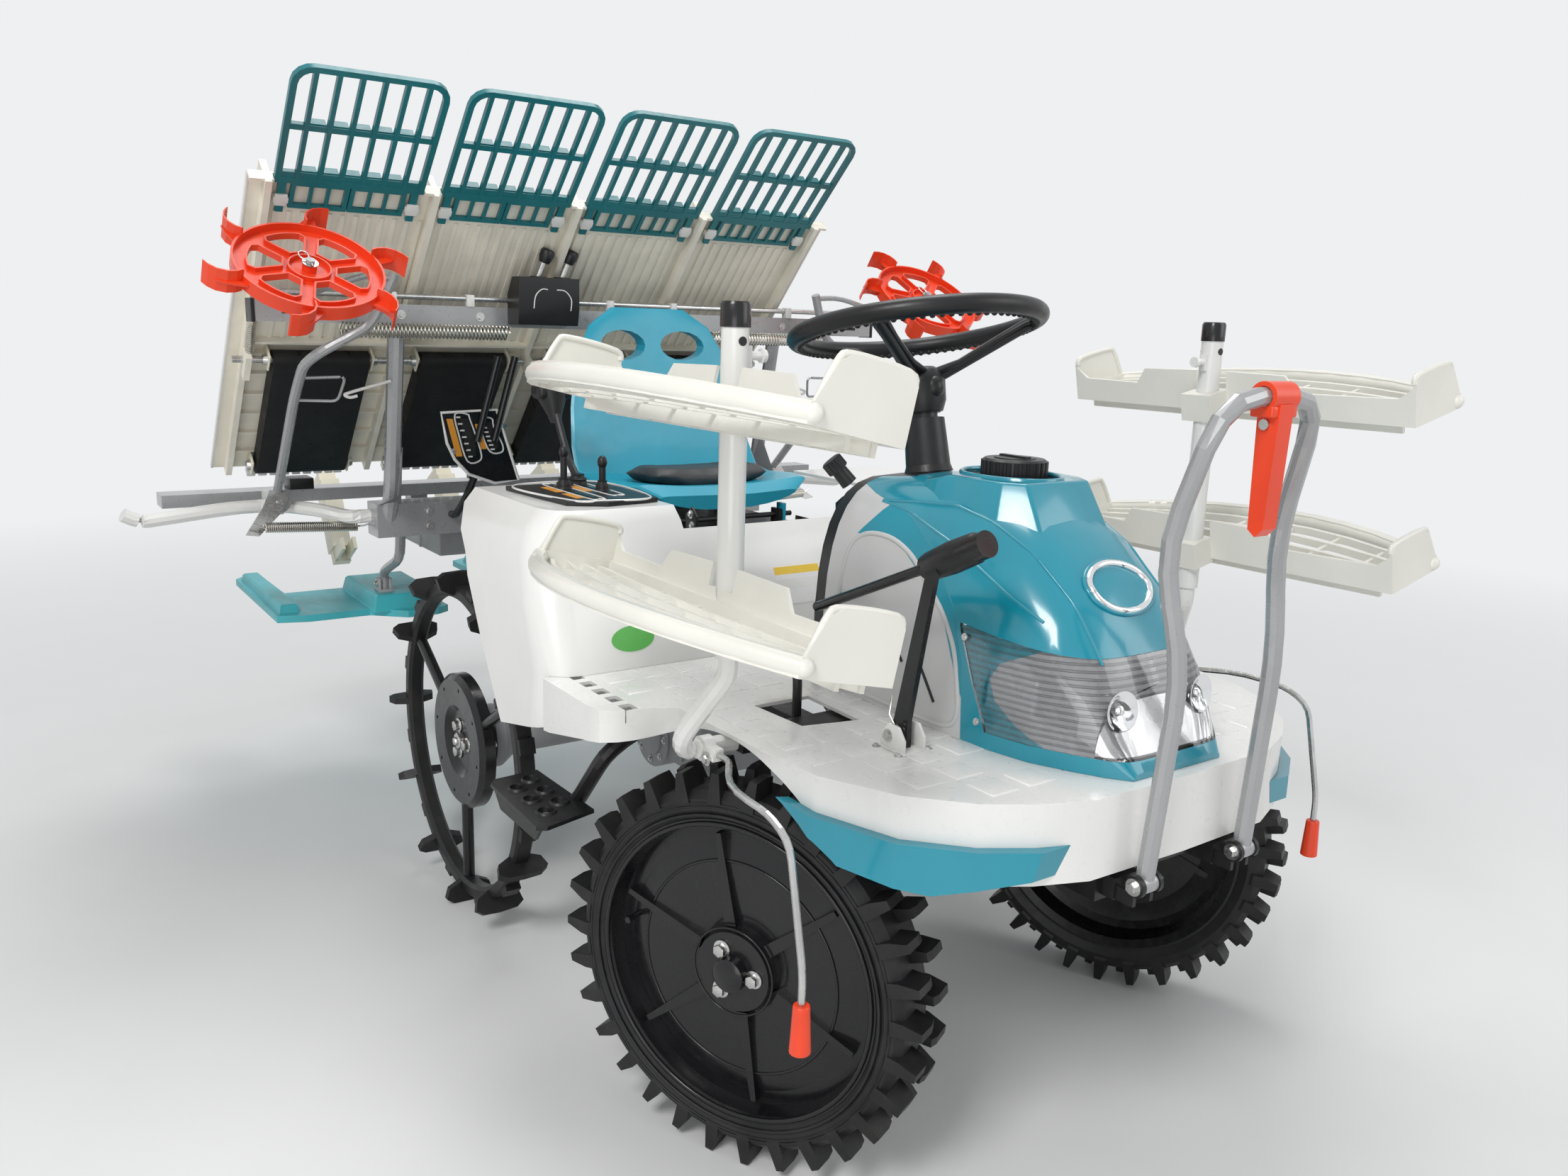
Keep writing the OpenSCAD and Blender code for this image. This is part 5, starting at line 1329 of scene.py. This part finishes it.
@dataclass
class WheelTrim:
    """Bead rings, sidewall rings and valves of the front wheels."""

    palette: Palette

    def build(self) -> None:
        """Builds the rings of both front wheels."""
        turn = math.radians(24.9)
        for side in Side:
            s = side.value
            axis = Vector((-math.sin(turn), math.cos(turn), 0)) * s
            u = Vector((axis.y, -axis.x, 0)).normalized()
            v = Vector((0, 0, 1))
            body = f"front_wheel_{side.word}"
            middle = at(880, 362 * s, 281) + axis * 0.050
            rubber, paint = Form(), Form()
            for radius, out, thick in ((0.2225, 0.0430, 0.0024), (0.234, 0.0435, 0.0014), (0.2385, 0.0432, 0.0014)):
                rubber.tube(oval(middle + axis * out, u * radius, v * radius, 72), thick, 8, True)
            rubber.piece(f"tyre_rings_{side.word}", body, self.palette.tyre, smooth=60)
            for radius, out, thick in ((0.2095, 0.0385, 0.0036), (0.152, 0.0200, 0.0022), (0.062, 0.0335, 0.0016)):
                paint.tube(oval(middle + axis * out, u * radius, v * radius, 72), thick, 8, True)
            paint.rod(middle + axis * 0.012 + u * 0.17 + v * 0.03, middle + axis * 0.034 + u * 0.17 + v * 0.03, 0.0042, sides=14)
            paint.rod(middle + axis * 0.034 + u * 0.17 + v * 0.03, middle + axis * 0.043 + u * 0.17 + v * 0.03, 0.0052, 0.0046, 14)
            paint.piece(f"rim_beads_{side.word}", body, self.palette.black_gloss, smooth=60)
            nut = Form()
            spot = at(0, 470 * s, 333) + Vector((0, 0.004 * s, 0))
            nut.rod(spot, spot + Vector((0, 0.012 * s, 0)), 0.017, sides=6)
            nut.rod(spot + Vector((0, 0.012 * s, 0)), spot + Vector((0, 0.018 * s, 0)), 0.009, 0.007, 18)
            nut.soften(0.001)
            nut.piece(f"rear_axle_nut_{side.word}", f"rear_wheel_{side.word}", self.palette.zinc)


@dataclass
class MarkerTrim:
    """Washers, split pins and spring clips that hold the line marker wheels."""

    palette: Palette

    def build(self) -> None:
        """Builds both sides."""
        for side in Side:
            s = side.value
            axis = Vector((0.72, -0.018 * s, 1)).normalized()
            middle = at(-55, 698 * s, 1208)
            form = Form()
            form.lathe([(0.0075, 0.0042), (0.0135, 0.0042), (0.0135, 0.0062), (0.0075, 0.0062)], middle, axis, 32)
            across = axis.cross(Vector((0, 1, 0))).normalized()
            form.rod(middle + axis * 0.0092 - across * 0.016, middle + axis * 0.0092 + across * 0.016, 0.0016, sides=10)
            aside = axis.cross(across)
            loop = [middle + axis * 0.0092 + across * 0.016 + across * (0.012 * math.sin(a)) + aside * (0.008 * (1 - math.cos(a))) for a in (i / 14 * math.tau for i in range(14))]
            form.tube(loop, 0.0013, 8, True)
            form.piece(f"marker_clip_{side.word}", f"marker_arm_body_{side.word}", self.palette.zinc, smooth=50)


@dataclass
class StageTrim:
    """White lip, slats, brackets and small springs of the seedling stage."""

    palette: Palette
    body: str = "stage_body"
    slope: float = 46.7
    shift: float = -135
    half_w: float = 625
    length: float = 795

    def on_stage(self, u: float, y: float, w: float) -> Vector:
        """Gives a point of the stage from its own frame, in millimetres."""
        a = math.radians(self.slope)
        return at(-722 + u * math.cos(a) - w * math.sin(a), self.shift + y, 772 + u * math.sin(a) + w * math.cos(a))

    def slab(self, form: Form, low: Point, high: Point) -> None:
        """Adds a box in the stage's own frame."""
        matrix = Matrix.Translation(self.on_stage(0, 0, 0)) @ Matrix.Rotation(-math.radians(self.slope), 4, "Y")
        middle = Vector([(a + b) / 2000 for a, b in zip(low, high)])
        size = [(b - a) / 1000 for a, b in zip(low, high)]
        bmesh.ops.create_cube(form.bm, size=1.0, matrix=matrix @ Matrix.Translation(middle) @ Matrix.Diagonal((*size, 1)))

    def build(self) -> None:
        """Builds the trim in the stage's own frame."""
        lip, slats, brackets, metal = Form(), Form(), Form(), Form()
        self.slab(lip, (self.length - 9, -self.half_w, 27.5), (self.length, self.half_w, 30))
        self.slab(lip, (0, -self.half_w - 1.5, 22), (self.length, -self.half_w + 3, 31))
        self.slab(lip, (0, self.half_w - 3, 22), (self.length, self.half_w + 1.5, 31))
        for row in (-1.5, -0.5, 0.5, 1.5):
            middle = row * 300
            for s in (-118, 118):
                self.slab(lip, (self.length - 58, middle + s - 11, 9), (self.length - 34, middle + s + 11, 14))
                self.slab(lip, (self.length - 52, middle + s - 13, 9), (self.length - 40, middle + s - 9, 22))
                self.slab(lip, (self.length - 52, middle + s + 9, 9), (self.length - 40, middle + s + 13, 22))
            for k in range(9):
                y = middle - 96 + 24 * k - (4 if k == 8 else 0)
                self.slab(slats, (-12, y - 9, 4), (4, y + 9, 24.5))
            for u in (40, 366):
                for s in (-1, 1):
                    y = middle + 100 * s
                    self.slab(brackets, (u - 20, min(y, y + 5 * s), -20), (u + 20, max(y, y + 5 * s), 24.5))
                    metal.rod(self.on_stage(u, y + 5 * s, -6), self.on_stage(u, y + 13 * s, -6), 0.012, 0.010, 20)
        lip.soften(0.0008)
        lip.piece("stage_lip", self.body, self.palette.white_paint)
        slats.soften(0.0015)
        slats.piece("stage_slats", self.body, self.palette.white_paint)
        brackets.soften(0.003, 3)
        brackets.piece("belt_brackets", self.body, self.palette.rotor_cream)
        metal.piece("belt_collars", self.body, self.palette.zinc)
        for y in (-590, 590):
            start, end = self.on_stage(372, y, -14), self.on_stage(470, y, 8)
            name = "right" if y < 0 else "left"
            CoilSpring(f"belt_spring_{name}", self.body, start.lerp(end, 0.2), start.lerp(end, 0.85), 0.008, 0.0013, 16).build(self.palette.spring_steel)
            hooks = Form()
            hooks.tube([start, start.lerp(end, 0.2)], 0.0013, 6)
            hooks.tube([start.lerp(end, 0.85), end, self.on_stage(476, y, 24)], 0.0013, 6)
            hooks.piece(f"belt_spring_hooks_{name}", self.body, self.palette.spring_steel)


@dataclass
class UnitTrim:
    """Rail, springs, notch plate and brackets of the planting unit."""

    palette: Palette
    body: str = "planting_unit"

    def build(self) -> None:
        """Builds the trim in order."""
        self.upper_rail()
        self.notch_plate()
        self.clutch_levers()
        self.case_springs()
        self.brackets()
        self.bolts()

    def upper_rail(self) -> None:
        """Lays a round bright rail with white clips over the upper beam."""
        rail = Form()
        rail.rod(at(-318, -715, 1167), at(-318, 715, 1167), 0.0058, sides=18)
        rail.piece("upper_rail", self.body, self.palette.zinc)
        clips = Form()
        for k in range(9):
            y = -640 + 160 * k
            clips.block(at(-328, y - 8, 1150.5), at(-308, y + 8, 1175))
        clips.soften(0.002)
        clips.piece("rail_clips", self.body, self.palette.white_paint)
        ends = Form()
        for s in (-1, 1):
            ends.block(at(-359, min(738 * s, 745 * s), 1109), at(-311, max(738 * s, 745 * s), 1153))
            ends.block(at(-314, min(560 * s, 690 * s), 1126), at(-312.4, max(560 * s, 690 * s), 1133))
        ends.block(at(-790, -600, 732), at(-728, -548, 757))
        ends.soften(0.0012)
        ends.piece("beam_ends", self.body, self.palette.black_plastic)

    def notch_plate(self) -> None:
        """Draws the notch plate's white edge, its two notched gates and bare label strips."""
        front = -347
        edge = [(-377, 932), (-366, 868), (-350, 833), (-320, 800), (-262, 778), (-207, 783), (-255, 937)]
        gates = [[(-347, 928), (-320, 928), (-314, 916), (-293, 852), (-294, 829), (-322, 828), (-340, 886)],
                 [(-291, 918), (-266, 918), (-262, 900), (-243, 862), (-245, 845), (-271, 847), (-288, 885)]]
        white, dark = Form(), Form()
        white.tube([at(front, y, z) for y, z in edge], 0.0034, 8, True)
        for gate in gates:
            white.tube(curve([at(front, y, z) for y, z in gate], 4, True), 0.0018, 6, True)
            middle = (sum(y for y, _ in gate) / len(gate), sum(z for _, z in gate) / len(gate))
            dark.plate([at(front - 0.5, middle[0] + (y - middle[0]) * 0.62, middle[1] + (z - middle[1]) * 0.8) for y, z in gate], Vector((-0.0012, 0, 0)) * -1.4)
        for (y0, z0), (y1, z1) in (((-345, 922), (-320, 838)), ((-290, 908), (-270, 852))):
            for k in range(7):
                t = k / 6
                white.block(at(front - 1, y0 + (y1 - y0) * t, z0 + (z1 - z0) * t - 1.6), at(front + 1.4, y0 + (y1 - y0) * t + 9, z0 + (z1 - z0) * t + 1.6))
        white.piece("notch_lines", self.body, self.palette.white_paint, smooth=50)
        dark.piece("notch_gates", self.body, self.palette.tyre)
        strips = Form()
        for strip in ([(-366, 919), (-353, 919), (-333, 839), (-347, 839)], [(-304, 907), (-294, 907), (-279, 853), (-291, 853)]):
            strips.plate([at(front - 0.5, y, z) for y, z in strip], Vector((0.0014, 0, 0)))
        strips.piece("notch_label_strips", self.body, self.palette.label_orange)

    def clutch_levers(self) -> None:
        """Stands two short levers on the clutch box, with bare curved lines on its face."""
        low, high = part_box("clutch_box")
        front, top = high[0], high[2]
        middle = (low[0] + high[0]) / 2
        stems, knobs, lines = Form(), Form(), Form()
        wide, tall = high[1] - low[1], high[2] - low[2]
        for a, b in ((0.40, 0.50), (0.80, 0.90)):
            y0, y1 = low[1] + a * wide, low[1] + b * wide
            start, end = Vector((middle, y0, top - 0.004)), Vector((middle + 0.006, y1, top + 0.034))
            stems.tube([start, end], 0.0055, 8)
            along = (end - start).normalized()
            knobs.lathe([(0.0, -0.002), (0.011, 0.0), (0.0145, 0.012), (0.015, 0.024), (0.012, 0.029), (0.0, 0.030)], end - along * 0.003, along, 24)
            knobs.block(Vector((middle - 0.012, y0 - 0.014, top - 0.003)), Vector((middle + 0.012, y0 + 0.014, top + 0.003)))
        for arc in ([(0.24, 0.65), (0.27, 0.39), (0.37, 0.25), (0.47, 0.25)], [(0.62, 0.25), (0.76, 0.27), (0.86, 0.44), (0.85, 0.68)]):
            path = [Vector((front + 0.0004, low[1] + a * wide, top - b * tall)) for a, b in arc]
            lines.tube(curve(path, 5), 0.0012, 6)
        stems.piece("clutch_stems", self.body, self.palette.zinc)
        knobs.soften(0.001)
        knobs.piece("clutch_knobs", self.body, self.palette.black_plastic)
        lines.piece("clutch_lines", self.body, self.palette.white_paint)
        link = Form()
        for s in (-1, 1):
            path = [(-352, 478, 998), (-352, 556, 976), (-354, 570, 970), (-354, 560, 965), (-352, 546, 968)]
            link.tube(curve([at(x, y * s, z) for x, y, z in path], 5), 0.0032, 10)
        link.piece("arm_hooks", self.body, self.palette.white_paint, smooth=60)

    def case_springs(self) -> None:
        """Winds the long springs beside the planting cases and hangs them on steel plates."""
        for side in Side:
            s = side.value
            CoilSpring(f"case_spring_{side.word}", self.body, at(-530, 700 * s, 682), at(-520, 512 * s, 674), 0.010, 0.0017, 44).build(self.palette.spring_steel)
            plate = Form()
            corners_mm = [(-603, 630, 742), (-603, 672, 752), (-590, 690, 716), (-534, 738, 668), (-534, 712, 664), (-592, 655, 700)]
            outline = [at(x, y * s, z) for x, y, z in corners_mm]
            plate.plate(outline, Vector((0.004, 0, 0)))
            plate.tube([at(-532, 722 * s, 690), at(-530, 708 * s, 684), at(-530, 698 * s, 682)], 0.0018, 6)
            plate.tube([at(-520, 514 * s, 674), at(-510, 500 * s, 676), at(-500, 488 * s, 682)], 0.0018, 6)
            screw(plate, at(-601, 653 * s, 725), Vector((1, 0, 0)), 0.014, 0.008)
            plate.piece(f"marker_bracket_{side.word}", self.body, self.palette.zinc)

    def brackets(self) -> None:
        """Adds float hinges, gussets and case covers in cast metal."""
        form = Form()
        for y in (-430, 430, -60, 60):
            x = -620 if abs(y) > 100 else -570
            form.block(at(x - 22, y - 16, 500), at(x + 22, y + 16, 507))
            form.block(at(x - 14, y - 15, 500), at(x + 14, y - 9, 532))
            form.block(at(x - 14, y + 9, 500), at(x + 14, y + 15, 532))
        for side in Side:
            s = side.value
            for y in (300 * s,):
                form.plate([at(-506, y - 4, 730), at(-506, y - 4, 664), at(-600, y - 4, 664)], Vector((0, 0.008, 0)))
                for edge in (-34, 34):
                    form.rod(at(-955, y + edge, 628), at(-955, y + edge + math.copysign(5, edge), 628), 0.030, 0.027, 28)
                for x in (-880, -760, -640):
                    form.block(at(x - 5, y - 37, 594), at(x + 5, y + 37, 665))
            form.plate([at(-434, 440 * s, 731), at(-434, 488 * s, 731), at(-340, 476 * s, 760), at(-372, 452 * s, 860)], Vector((-0.004, 0, 0)))
        form.soften(0.0015)
        form.piece("unit_castings", self.body, self.palette.casting)

    def bolts(self) -> None:
        """Bolts the unit's beams, cases and hitch together."""
        form = Form()
        for side in Side:
            s = side.value
            for x in (-930, -845, -700, -580):
                screw(form, at(x, (300 + 34) * s, 640), Vector((0, s, 0)), 0.009, 0.006)
            for y in (120, 250, 380):
                screw(form, at(-434, y * s, 712), Vector((1, 0, 0)), 0.012, 0.007)
                screw(form, at(-434, y * s, 680), Vector((1, 0, 0)), 0.012, 0.007)
            for y in (464, 300):
                screw(form, at(-313, y * s, 1131), Vector((1, 0, 0)), 0.011, 0.006)
            screw(form, at(-620, 446 * s, 520), Vector((0, s, 0)), 0.010, 0.006)
        for y, z in ((-240, 900), (-352, 850)):
            screw(form, at(-348, y, z), Vector((1, 0, 0)), 0.008, 0.004)
        form.piece("unit_bolts", self.body, self.palette.zinc)


@dataclass
class ChassisTrim:
    """Small fasteners and raised hole rims of the chassis."""

    palette: Palette
    body: str = "chassis"

    def build(self) -> None:
        """Builds the fasteners and the step's rims."""
        rims, bolts, grey = Form(), Form(), Form()
        for side in Side:
            s = side.value
            for x, y in ((486, 540), (538, 540), (590, 540), (510, 572), (562, 572), (614, 572)):
                rims.lathe([(0.0118, 0.0), (0.0165, 0.0), (0.0145, 0.0035), (0.0125, 0.0035)], at(x, y * s, 430), Vector((0, 0, 1)), 24)
            for x, y, z, across in ((530, 130, 500, 0.012), (700, 130, 500, 0.012), (1000, 130, 500, 0.012), (1180, 130, 500, 0.012)):
                screw(bolts, at(x, y * s, z), Vector((0, 0, 1)), across, 0.007)
            for x in (100, 320, 470, 760):
                screw(bolts, at(x, 130 * s, 475), Vector((0, s, 0)), 0.014, 0.008)
            screw(bolts, at(1301, 117 * s, 485), Vector((0, s, 0)), 0.013, 0.008)
            screw(bolts, at(1301, 77 * s, 485), Vector((0, -s, 0)), 0.013, 0.008)
            screw(bolts, at(871, 457 * s, 573), Vector((0, s, 0)), 0.011, 0.006)
            for k in range(8):
                turn = math.tau * k / 8
                screw(bolts, at(60 + 56 * math.cos(turn), 95 * s, 300 + 56 * math.sin(turn)), Vector((0, s, 0)), 0.009, 0.005)
                screw(bolts, at(52 * math.cos(turn), 430 * s, 333 + 52 * math.sin(turn)) - Vector((0, 0.0005 * s, 0)), Vector((0, -s, 0)), 0.009, 0.024)
            grey.lathe([(0.0, 0.0), (0.030, 0.0), (0.028, 0.008), (0.012, 0.012), (0.0, 0.013)], at(880, 362 * s, 441), Vector((0, 0, 1)), 32)
            grey.lathe([(0.0, 0.0), (0.046, 0.0), (0.044, 0.006), (0.0, 0.007)], at(60, 95 * s, 300), Vector((0, s, 0)), 40)
            for x in (-60, 0, 120, 180):
                grey.block(at(x - 4, min(89 * s, 94 * s), 275), at(x + 4, max(89 * s, 94 * s), 440))
        grey.soften(0.0015)
        rims.piece("step_hole_rims", self.body, self.palette.black_frame, smooth=30)
        bolts.piece("chassis_bolts", self.body, self.palette.zinc)
        grey.piece("case_ribs", self.body, self.palette.casting)
        clamp = Form()
        clamp.block(at(1322, -24, 1048), at(1352, 24, 1062))
        clamp.soften(0.003, 3)
        clamp.piece("handle_clamp_band", "handle_body", self.palette.red)
        pin = Form()
        for s in (-1, 1):
            pin.rod(at(1337, 13 * s, 1040), at(1337, 17 * s, 1040), 0.0062, sides=20)
        screw(pin, at(1350, 0, 1055), Vector((1, 0, 0)), 0.007, 0.003)
        pin.piece("handle_clamp_pins", "handle_body", self.palette.zinc)


@dataclass(frozen=True)
class CoverLabels:
    """Bare label plates stuck on the body cover."""

    skin: Skin
    palette: Palette
    body: str = "chassis"

    def stick(self, name: str, starts: Sequence[Vector], along: Vector, finish: Finish) -> None:
        """Lays one thin plate on the cover.

        Args:
            name: the plate's name.
            starts: its outline, off the surface.
            along: the direction in which it is pressed on.
            finish: what it wears.
        """
        outline = self.skin.lay(starts, along, 0.0008)
        if len(outline) == len(starts):
            Form().plate(outline, along.normalized() * 0.0012).piece(name, self.body, finish)

    def build(self) -> None:
        """Sticks the front plate with its band, and an oval beside the step."""
        rows = {"cover_label": (664, 712, self.palette.label_white), "cover_label_band": (712, 724, self.palette.label_yellow)}
        for name, (low, high, finish) in rows.items():
            self.stick(name, [at(900, y, z) for y, z in ((-86, low), (8, low), (8, high), (-86, high))], Vector((-1, 0, 0)), finish)
        eye, middle = at(2142.8, -1240.6, 1132), at(458, -350, 627)
        across, up = Vector((0.0735, 0.0000, 0.0202)), Vector((0.0023, 0.0000, 0.0227))
        outline = [self.skin.land(eye, place - eye, 0.001) for place in oval(middle, across, up, 28)]
        if None not in outline:
            Form().plate(outline, (middle - eye).normalized() * 0.0012).piece("cover_oval", self.body, self.palette.label_green)


@dataclass
class Studio:
    """The plain pale floor, the soft lights and the camera of the photograph."""

    place: Point = (2.1428 - MID_X, -1.2406, 1.1320)
    yaw: float = 144.76129
    pitch: float = 12.32128
    roll: float = 1.80428
    focal_pixels: float = 1691.27
    floor_colour: Colour = (0.80, 0.80, 0.79)
    backdrop: Colour = (0.86, 0.87, 0.88)
    fade_start: float = 1.7
    fade_end: float = 5.5

    def camera(self) -> None:
        """Stands the camera where the photograph was taken."""
        yaw, pitch, roll = (math.radians(a) for a in (self.yaw, self.pitch, self.roll))
        ahead = Vector((math.cos(yaw) * math.cos(pitch), math.sin(yaw) * math.cos(pitch), -math.sin(pitch)))
        right = ahead.cross(Vector((0, 0, 1))).normalized()
        up = right.cross(ahead)
        right, up = math.cos(roll) * right + math.sin(roll) * up, math.cos(roll) * up - math.sin(roll) * right
        lens = bpy.data.cameras.new("camera")
        lens.sensor_width = 36
        lens.lens = self.focal_pixels / PHOTO_SIZE[0] * 36
        lens.clip_end = 100
        made = bpy.data.objects.new("camera", lens)
        bpy.context.scene.collection.objects.link(made)
        turn = Matrix((right, up, -ahead)).transposed().to_4x4()
        made.matrix_world = Matrix.Translation(self.place) @ turn
        bpy.context.scene.camera = made

    def floor(self) -> None:
        """Lays a wide pale floor under the wheels."""
        bm = bmesh.new()
        bmesh.ops.create_grid(bm, x_segments=1, y_segments=1, size=14)
        mesh = bpy.data.meshes.new("floor")
        bm.to_mesh(mesh)
        bm.free()
        made = bpy.data.objects.new("floor", mesh)
        bpy.context.scene.collection.objects.link(made)
        board = NodeBoard("pale_floor")
        tone = board.blend(board.span(board.noise(3, 3), 0, 1, 0.4, 0.6), tuple(c * 0.985 for c in self.floor_colour), self.floor_colour)
        board.join(tone, board.shader.inputs["Base Color"])
        board.shader.inputs["Roughness"].default_value = 0.75
        away = board.node("VectorMath", operation="LENGTH")
        board.join(board.coords, away.inputs[0])
        far = board.span(away.outputs["Value"], 0.0, 1.0, self.fade_start, self.fade_end)
        path = board.node("LightPath")
        shown = board.math("MAXIMUM", path.outputs["Is Camera Ray"], board.math("MAXIMUM", path.outputs["Is Glossy Ray"], path.outputs["Is Transmission Ray"]))
        glow = board.node("Emission")
        glow.inputs["Color"].default_value = (*self.backdrop, 1)
        mix = board.node("MixShader")
        board.join(board.math("MULTIPLY", board.math("POWER", far, 0.6), shown), mix.inputs[0])
        board.join(board.shader.outputs[0], mix.inputs[1])
        board.join(glow.outputs[0], mix.inputs[2])
        board.join(mix.outputs[0], board.tree.nodes["Material Output"].inputs["Surface"])
        mesh.materials.append(board.material)

    def sky(self) -> None:
        """Fills the room with soft light and shows the camera a white background."""
        world = bpy.data.worlds.new("room")
        bpy.context.scene.world = world
        world.use_nodes = True
        tree = world.node_tree
        tree.nodes.clear()
        path = tree.nodes.new("ShaderNodeLightPath")
        seen = tree.nodes.new("ShaderNodeMath")
        seen.operation = "MAXIMUM"
        through = tree.nodes.new("ShaderNodeMath")
        through.operation = "MAXIMUM"
        tree.links.new(path.outputs["Is Camera Ray"], seen.inputs[0])
        tree.links.new(path.outputs["Is Transmission Ray"], seen.inputs[1])
        tree.links.new(seen.outputs[0], through.inputs[0])
        tree.links.new(path.outputs["Is Glossy Ray"], through.inputs[1])
        soft = tree.nodes.new("ShaderNodeBackground")
        soft.inputs[0].default_value = (0.93, 0.96, 1.0, 1)
        soft.inputs[1].default_value = 0.34
        pale = tree.nodes.new("ShaderNodeBackground")
        pale.inputs[0].default_value = (*self.backdrop, 1)
        pale.inputs[1].default_value = 1.0
        mix = tree.nodes.new("ShaderNodeMixShader")
        out = tree.nodes.new("ShaderNodeOutputWorld")
        tree.links.new(through.outputs[0], mix.inputs[0])
        tree.links.new(soft.outputs[0], mix.inputs[1])
        tree.links.new(pale.outputs[0], mix.inputs[2])
        tree.links.new(mix.outputs[0], out.inputs[0])

    def lamp(self, name: str, place: Point, target: Point, size: float, energy: float) -> None:
        """Hangs one soft area light.

        Args:
            name: the light's name.
            place: where it hangs.
            target: what it shines at.
            size: side of its square, in metres.
            energy: its power in watts.
        """
        light = bpy.data.lights.new(name, "AREA")
        light.size = size
        light.energy = energy
        made = bpy.data.objects.new(name, light)
        bpy.context.scene.collection.objects.link(made)
        made.location = place
        made.rotation_mode = "QUATERNION"
        made.rotation_quaternion = (Vector(target) - Vector(place)).to_track_quat("-Z", "Y")

    def build(self) -> None:
        """Sets up everything that isn't part of the machine."""
        self.camera()
        self.floor()
        self.sky()
        self.lamp("key", (2.4, -3.4, 4.0), (0, 0, 0.6), 1.5, 128)
        self.lamp("front", (2.9, -2.3, 0.9), (-0.2, 0, 0.7), 1.6, 20)
        self.lamp("fill", (3.6, 2.6, 2.6), (0, 0, 0.7), 2.4, 42)
        self.lamp("top", (-0.6, 0.6, 4.4), (0, 0, 0.6), 2.0, 76)
        bpy.context.scene.view_settings.view_transform = "Standard"


@dataclass
class Machine:
    """The whole machine's added pieces, in the order in which they are built."""

    frame: dict
    palette: Palette = field(default_factory=Palette)

    def build(self) -> None:
        """Dresses the CAD nodes and builds the added pieces."""
        nodes = self.frame["nodes"]
        dress = CadDress(nodes, self.palette)
        dress.apply()
        mouldings = Mouldings(nodes, self.frame["record"]["behaviour"]["bodies"], dress)
        for edge in self.soft_edges():
            if edge.node in nodes:
                mouldings.round_off(edge)
        SeatPad().build(self.palette, nodes)
        self.springs()
        self.bolts()
        HoodTrim(Skin([nodes["hood"], nodes["side_panels"], nodes["lamp_lens"]]), self.palette).build(nodes)
        DeckTrim(Skin([nodes["deck"], nodes["hood"], nodes["body_cover"], nodes["side_panels"]]), self.palette).build()
        SteeringTrim(self.palette).build()
        ControlTrim(self.palette).build()
        CoverLabels(Skin([nodes["body_cover"]]), self.palette).build()
        for trim in (SeatTrim, RackTrim, WheelTrim, MarkerTrim, StageTrim, UnitTrim, ChassisTrim):
            trim(self.palette).build()

    def soft_edges(self) -> list[SoftEdge]:
        """Lists the nodes with rounded edges and the width of the rounding."""
        widths = {
            0.0012: ["upper_racks", "lower_racks", "extension_racks", "control_panel", "notch_plate", "clutch_box",
                     "hand_lever", "foot_pedals", "belts", "stage"],
            0.002: ["deck", "side_panels", "side_bumpers", "rod_grips"],
            0.0055: ["brake_lever"],
            0.003: ["body_cover", "planting_cases", "engine_block", "transmission_case", "front_axle", "rear_axle"],
            0.004: ["hood", "dash", "seat_shell", "floats"]}
        return [SoftEdge(node, width) for width, nodes in widths.items() for node in nodes]

    def springs(self) -> None:
        """Winds the two long springs under the upper beam."""
        for side in Side:
            s = side.value
            coil = CoilSpring(f"beam_spring_{side.word}", "planting_unit", at(-290, 250 * s, 1100), at(-290, 590 * s, 1100), 0.0132, 0.0022, 44)
            made = coil.build(self.palette.spring_steel)
            if side is Side.LEFT:
                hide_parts("springs")

    def bolts(self) -> None:
        """Bolts the wheels to their hubs."""
        turn = math.radians(24.9)
        for side in Side:
            s = side.value
            axis = Vector((-math.sin(turn), math.cos(turn), 0)) * s
            middle = at(880, 362 * s, 281) + axis * (0.050 + 0.034)
            WheelBolts(f"front_wheel_bolts_{side.word}", f"front_wheel_{side.word}", middle, axis, 0.034, 3, 0.016, 0.011, 0.022).build(self.palette.zinc)
            hub = Form().lathe([(0.0, 0.0185), (0.018, 0.018), (0.0235, 0.014), (0.025, 0.0)], middle, axis, 36)
            hub.piece(f"hub_cap_{side.word}", f"front_wheel_{side.word}", self.palette.black_gloss)
            middle = at(0, 470 * s, 333) + Vector((0, 0.004 * s, 0))
            WheelBolts(f"rear_wheel_bolts_{side.word}", f"rear_wheel_{side.word}", middle, Vector((0, s, 0)), 0.030, 3, 0.018, 0.012).build(self.palette.zinc)


def main() -> None:
    """Loads the CAD, and builds the machine and the studio."""
    logging.basicConfig(level=logging.INFO, format="%(name)s %(message)s")
    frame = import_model()
    Machine(frame).build()
    Studio().build()


if __name__ == "__main__":
    main()
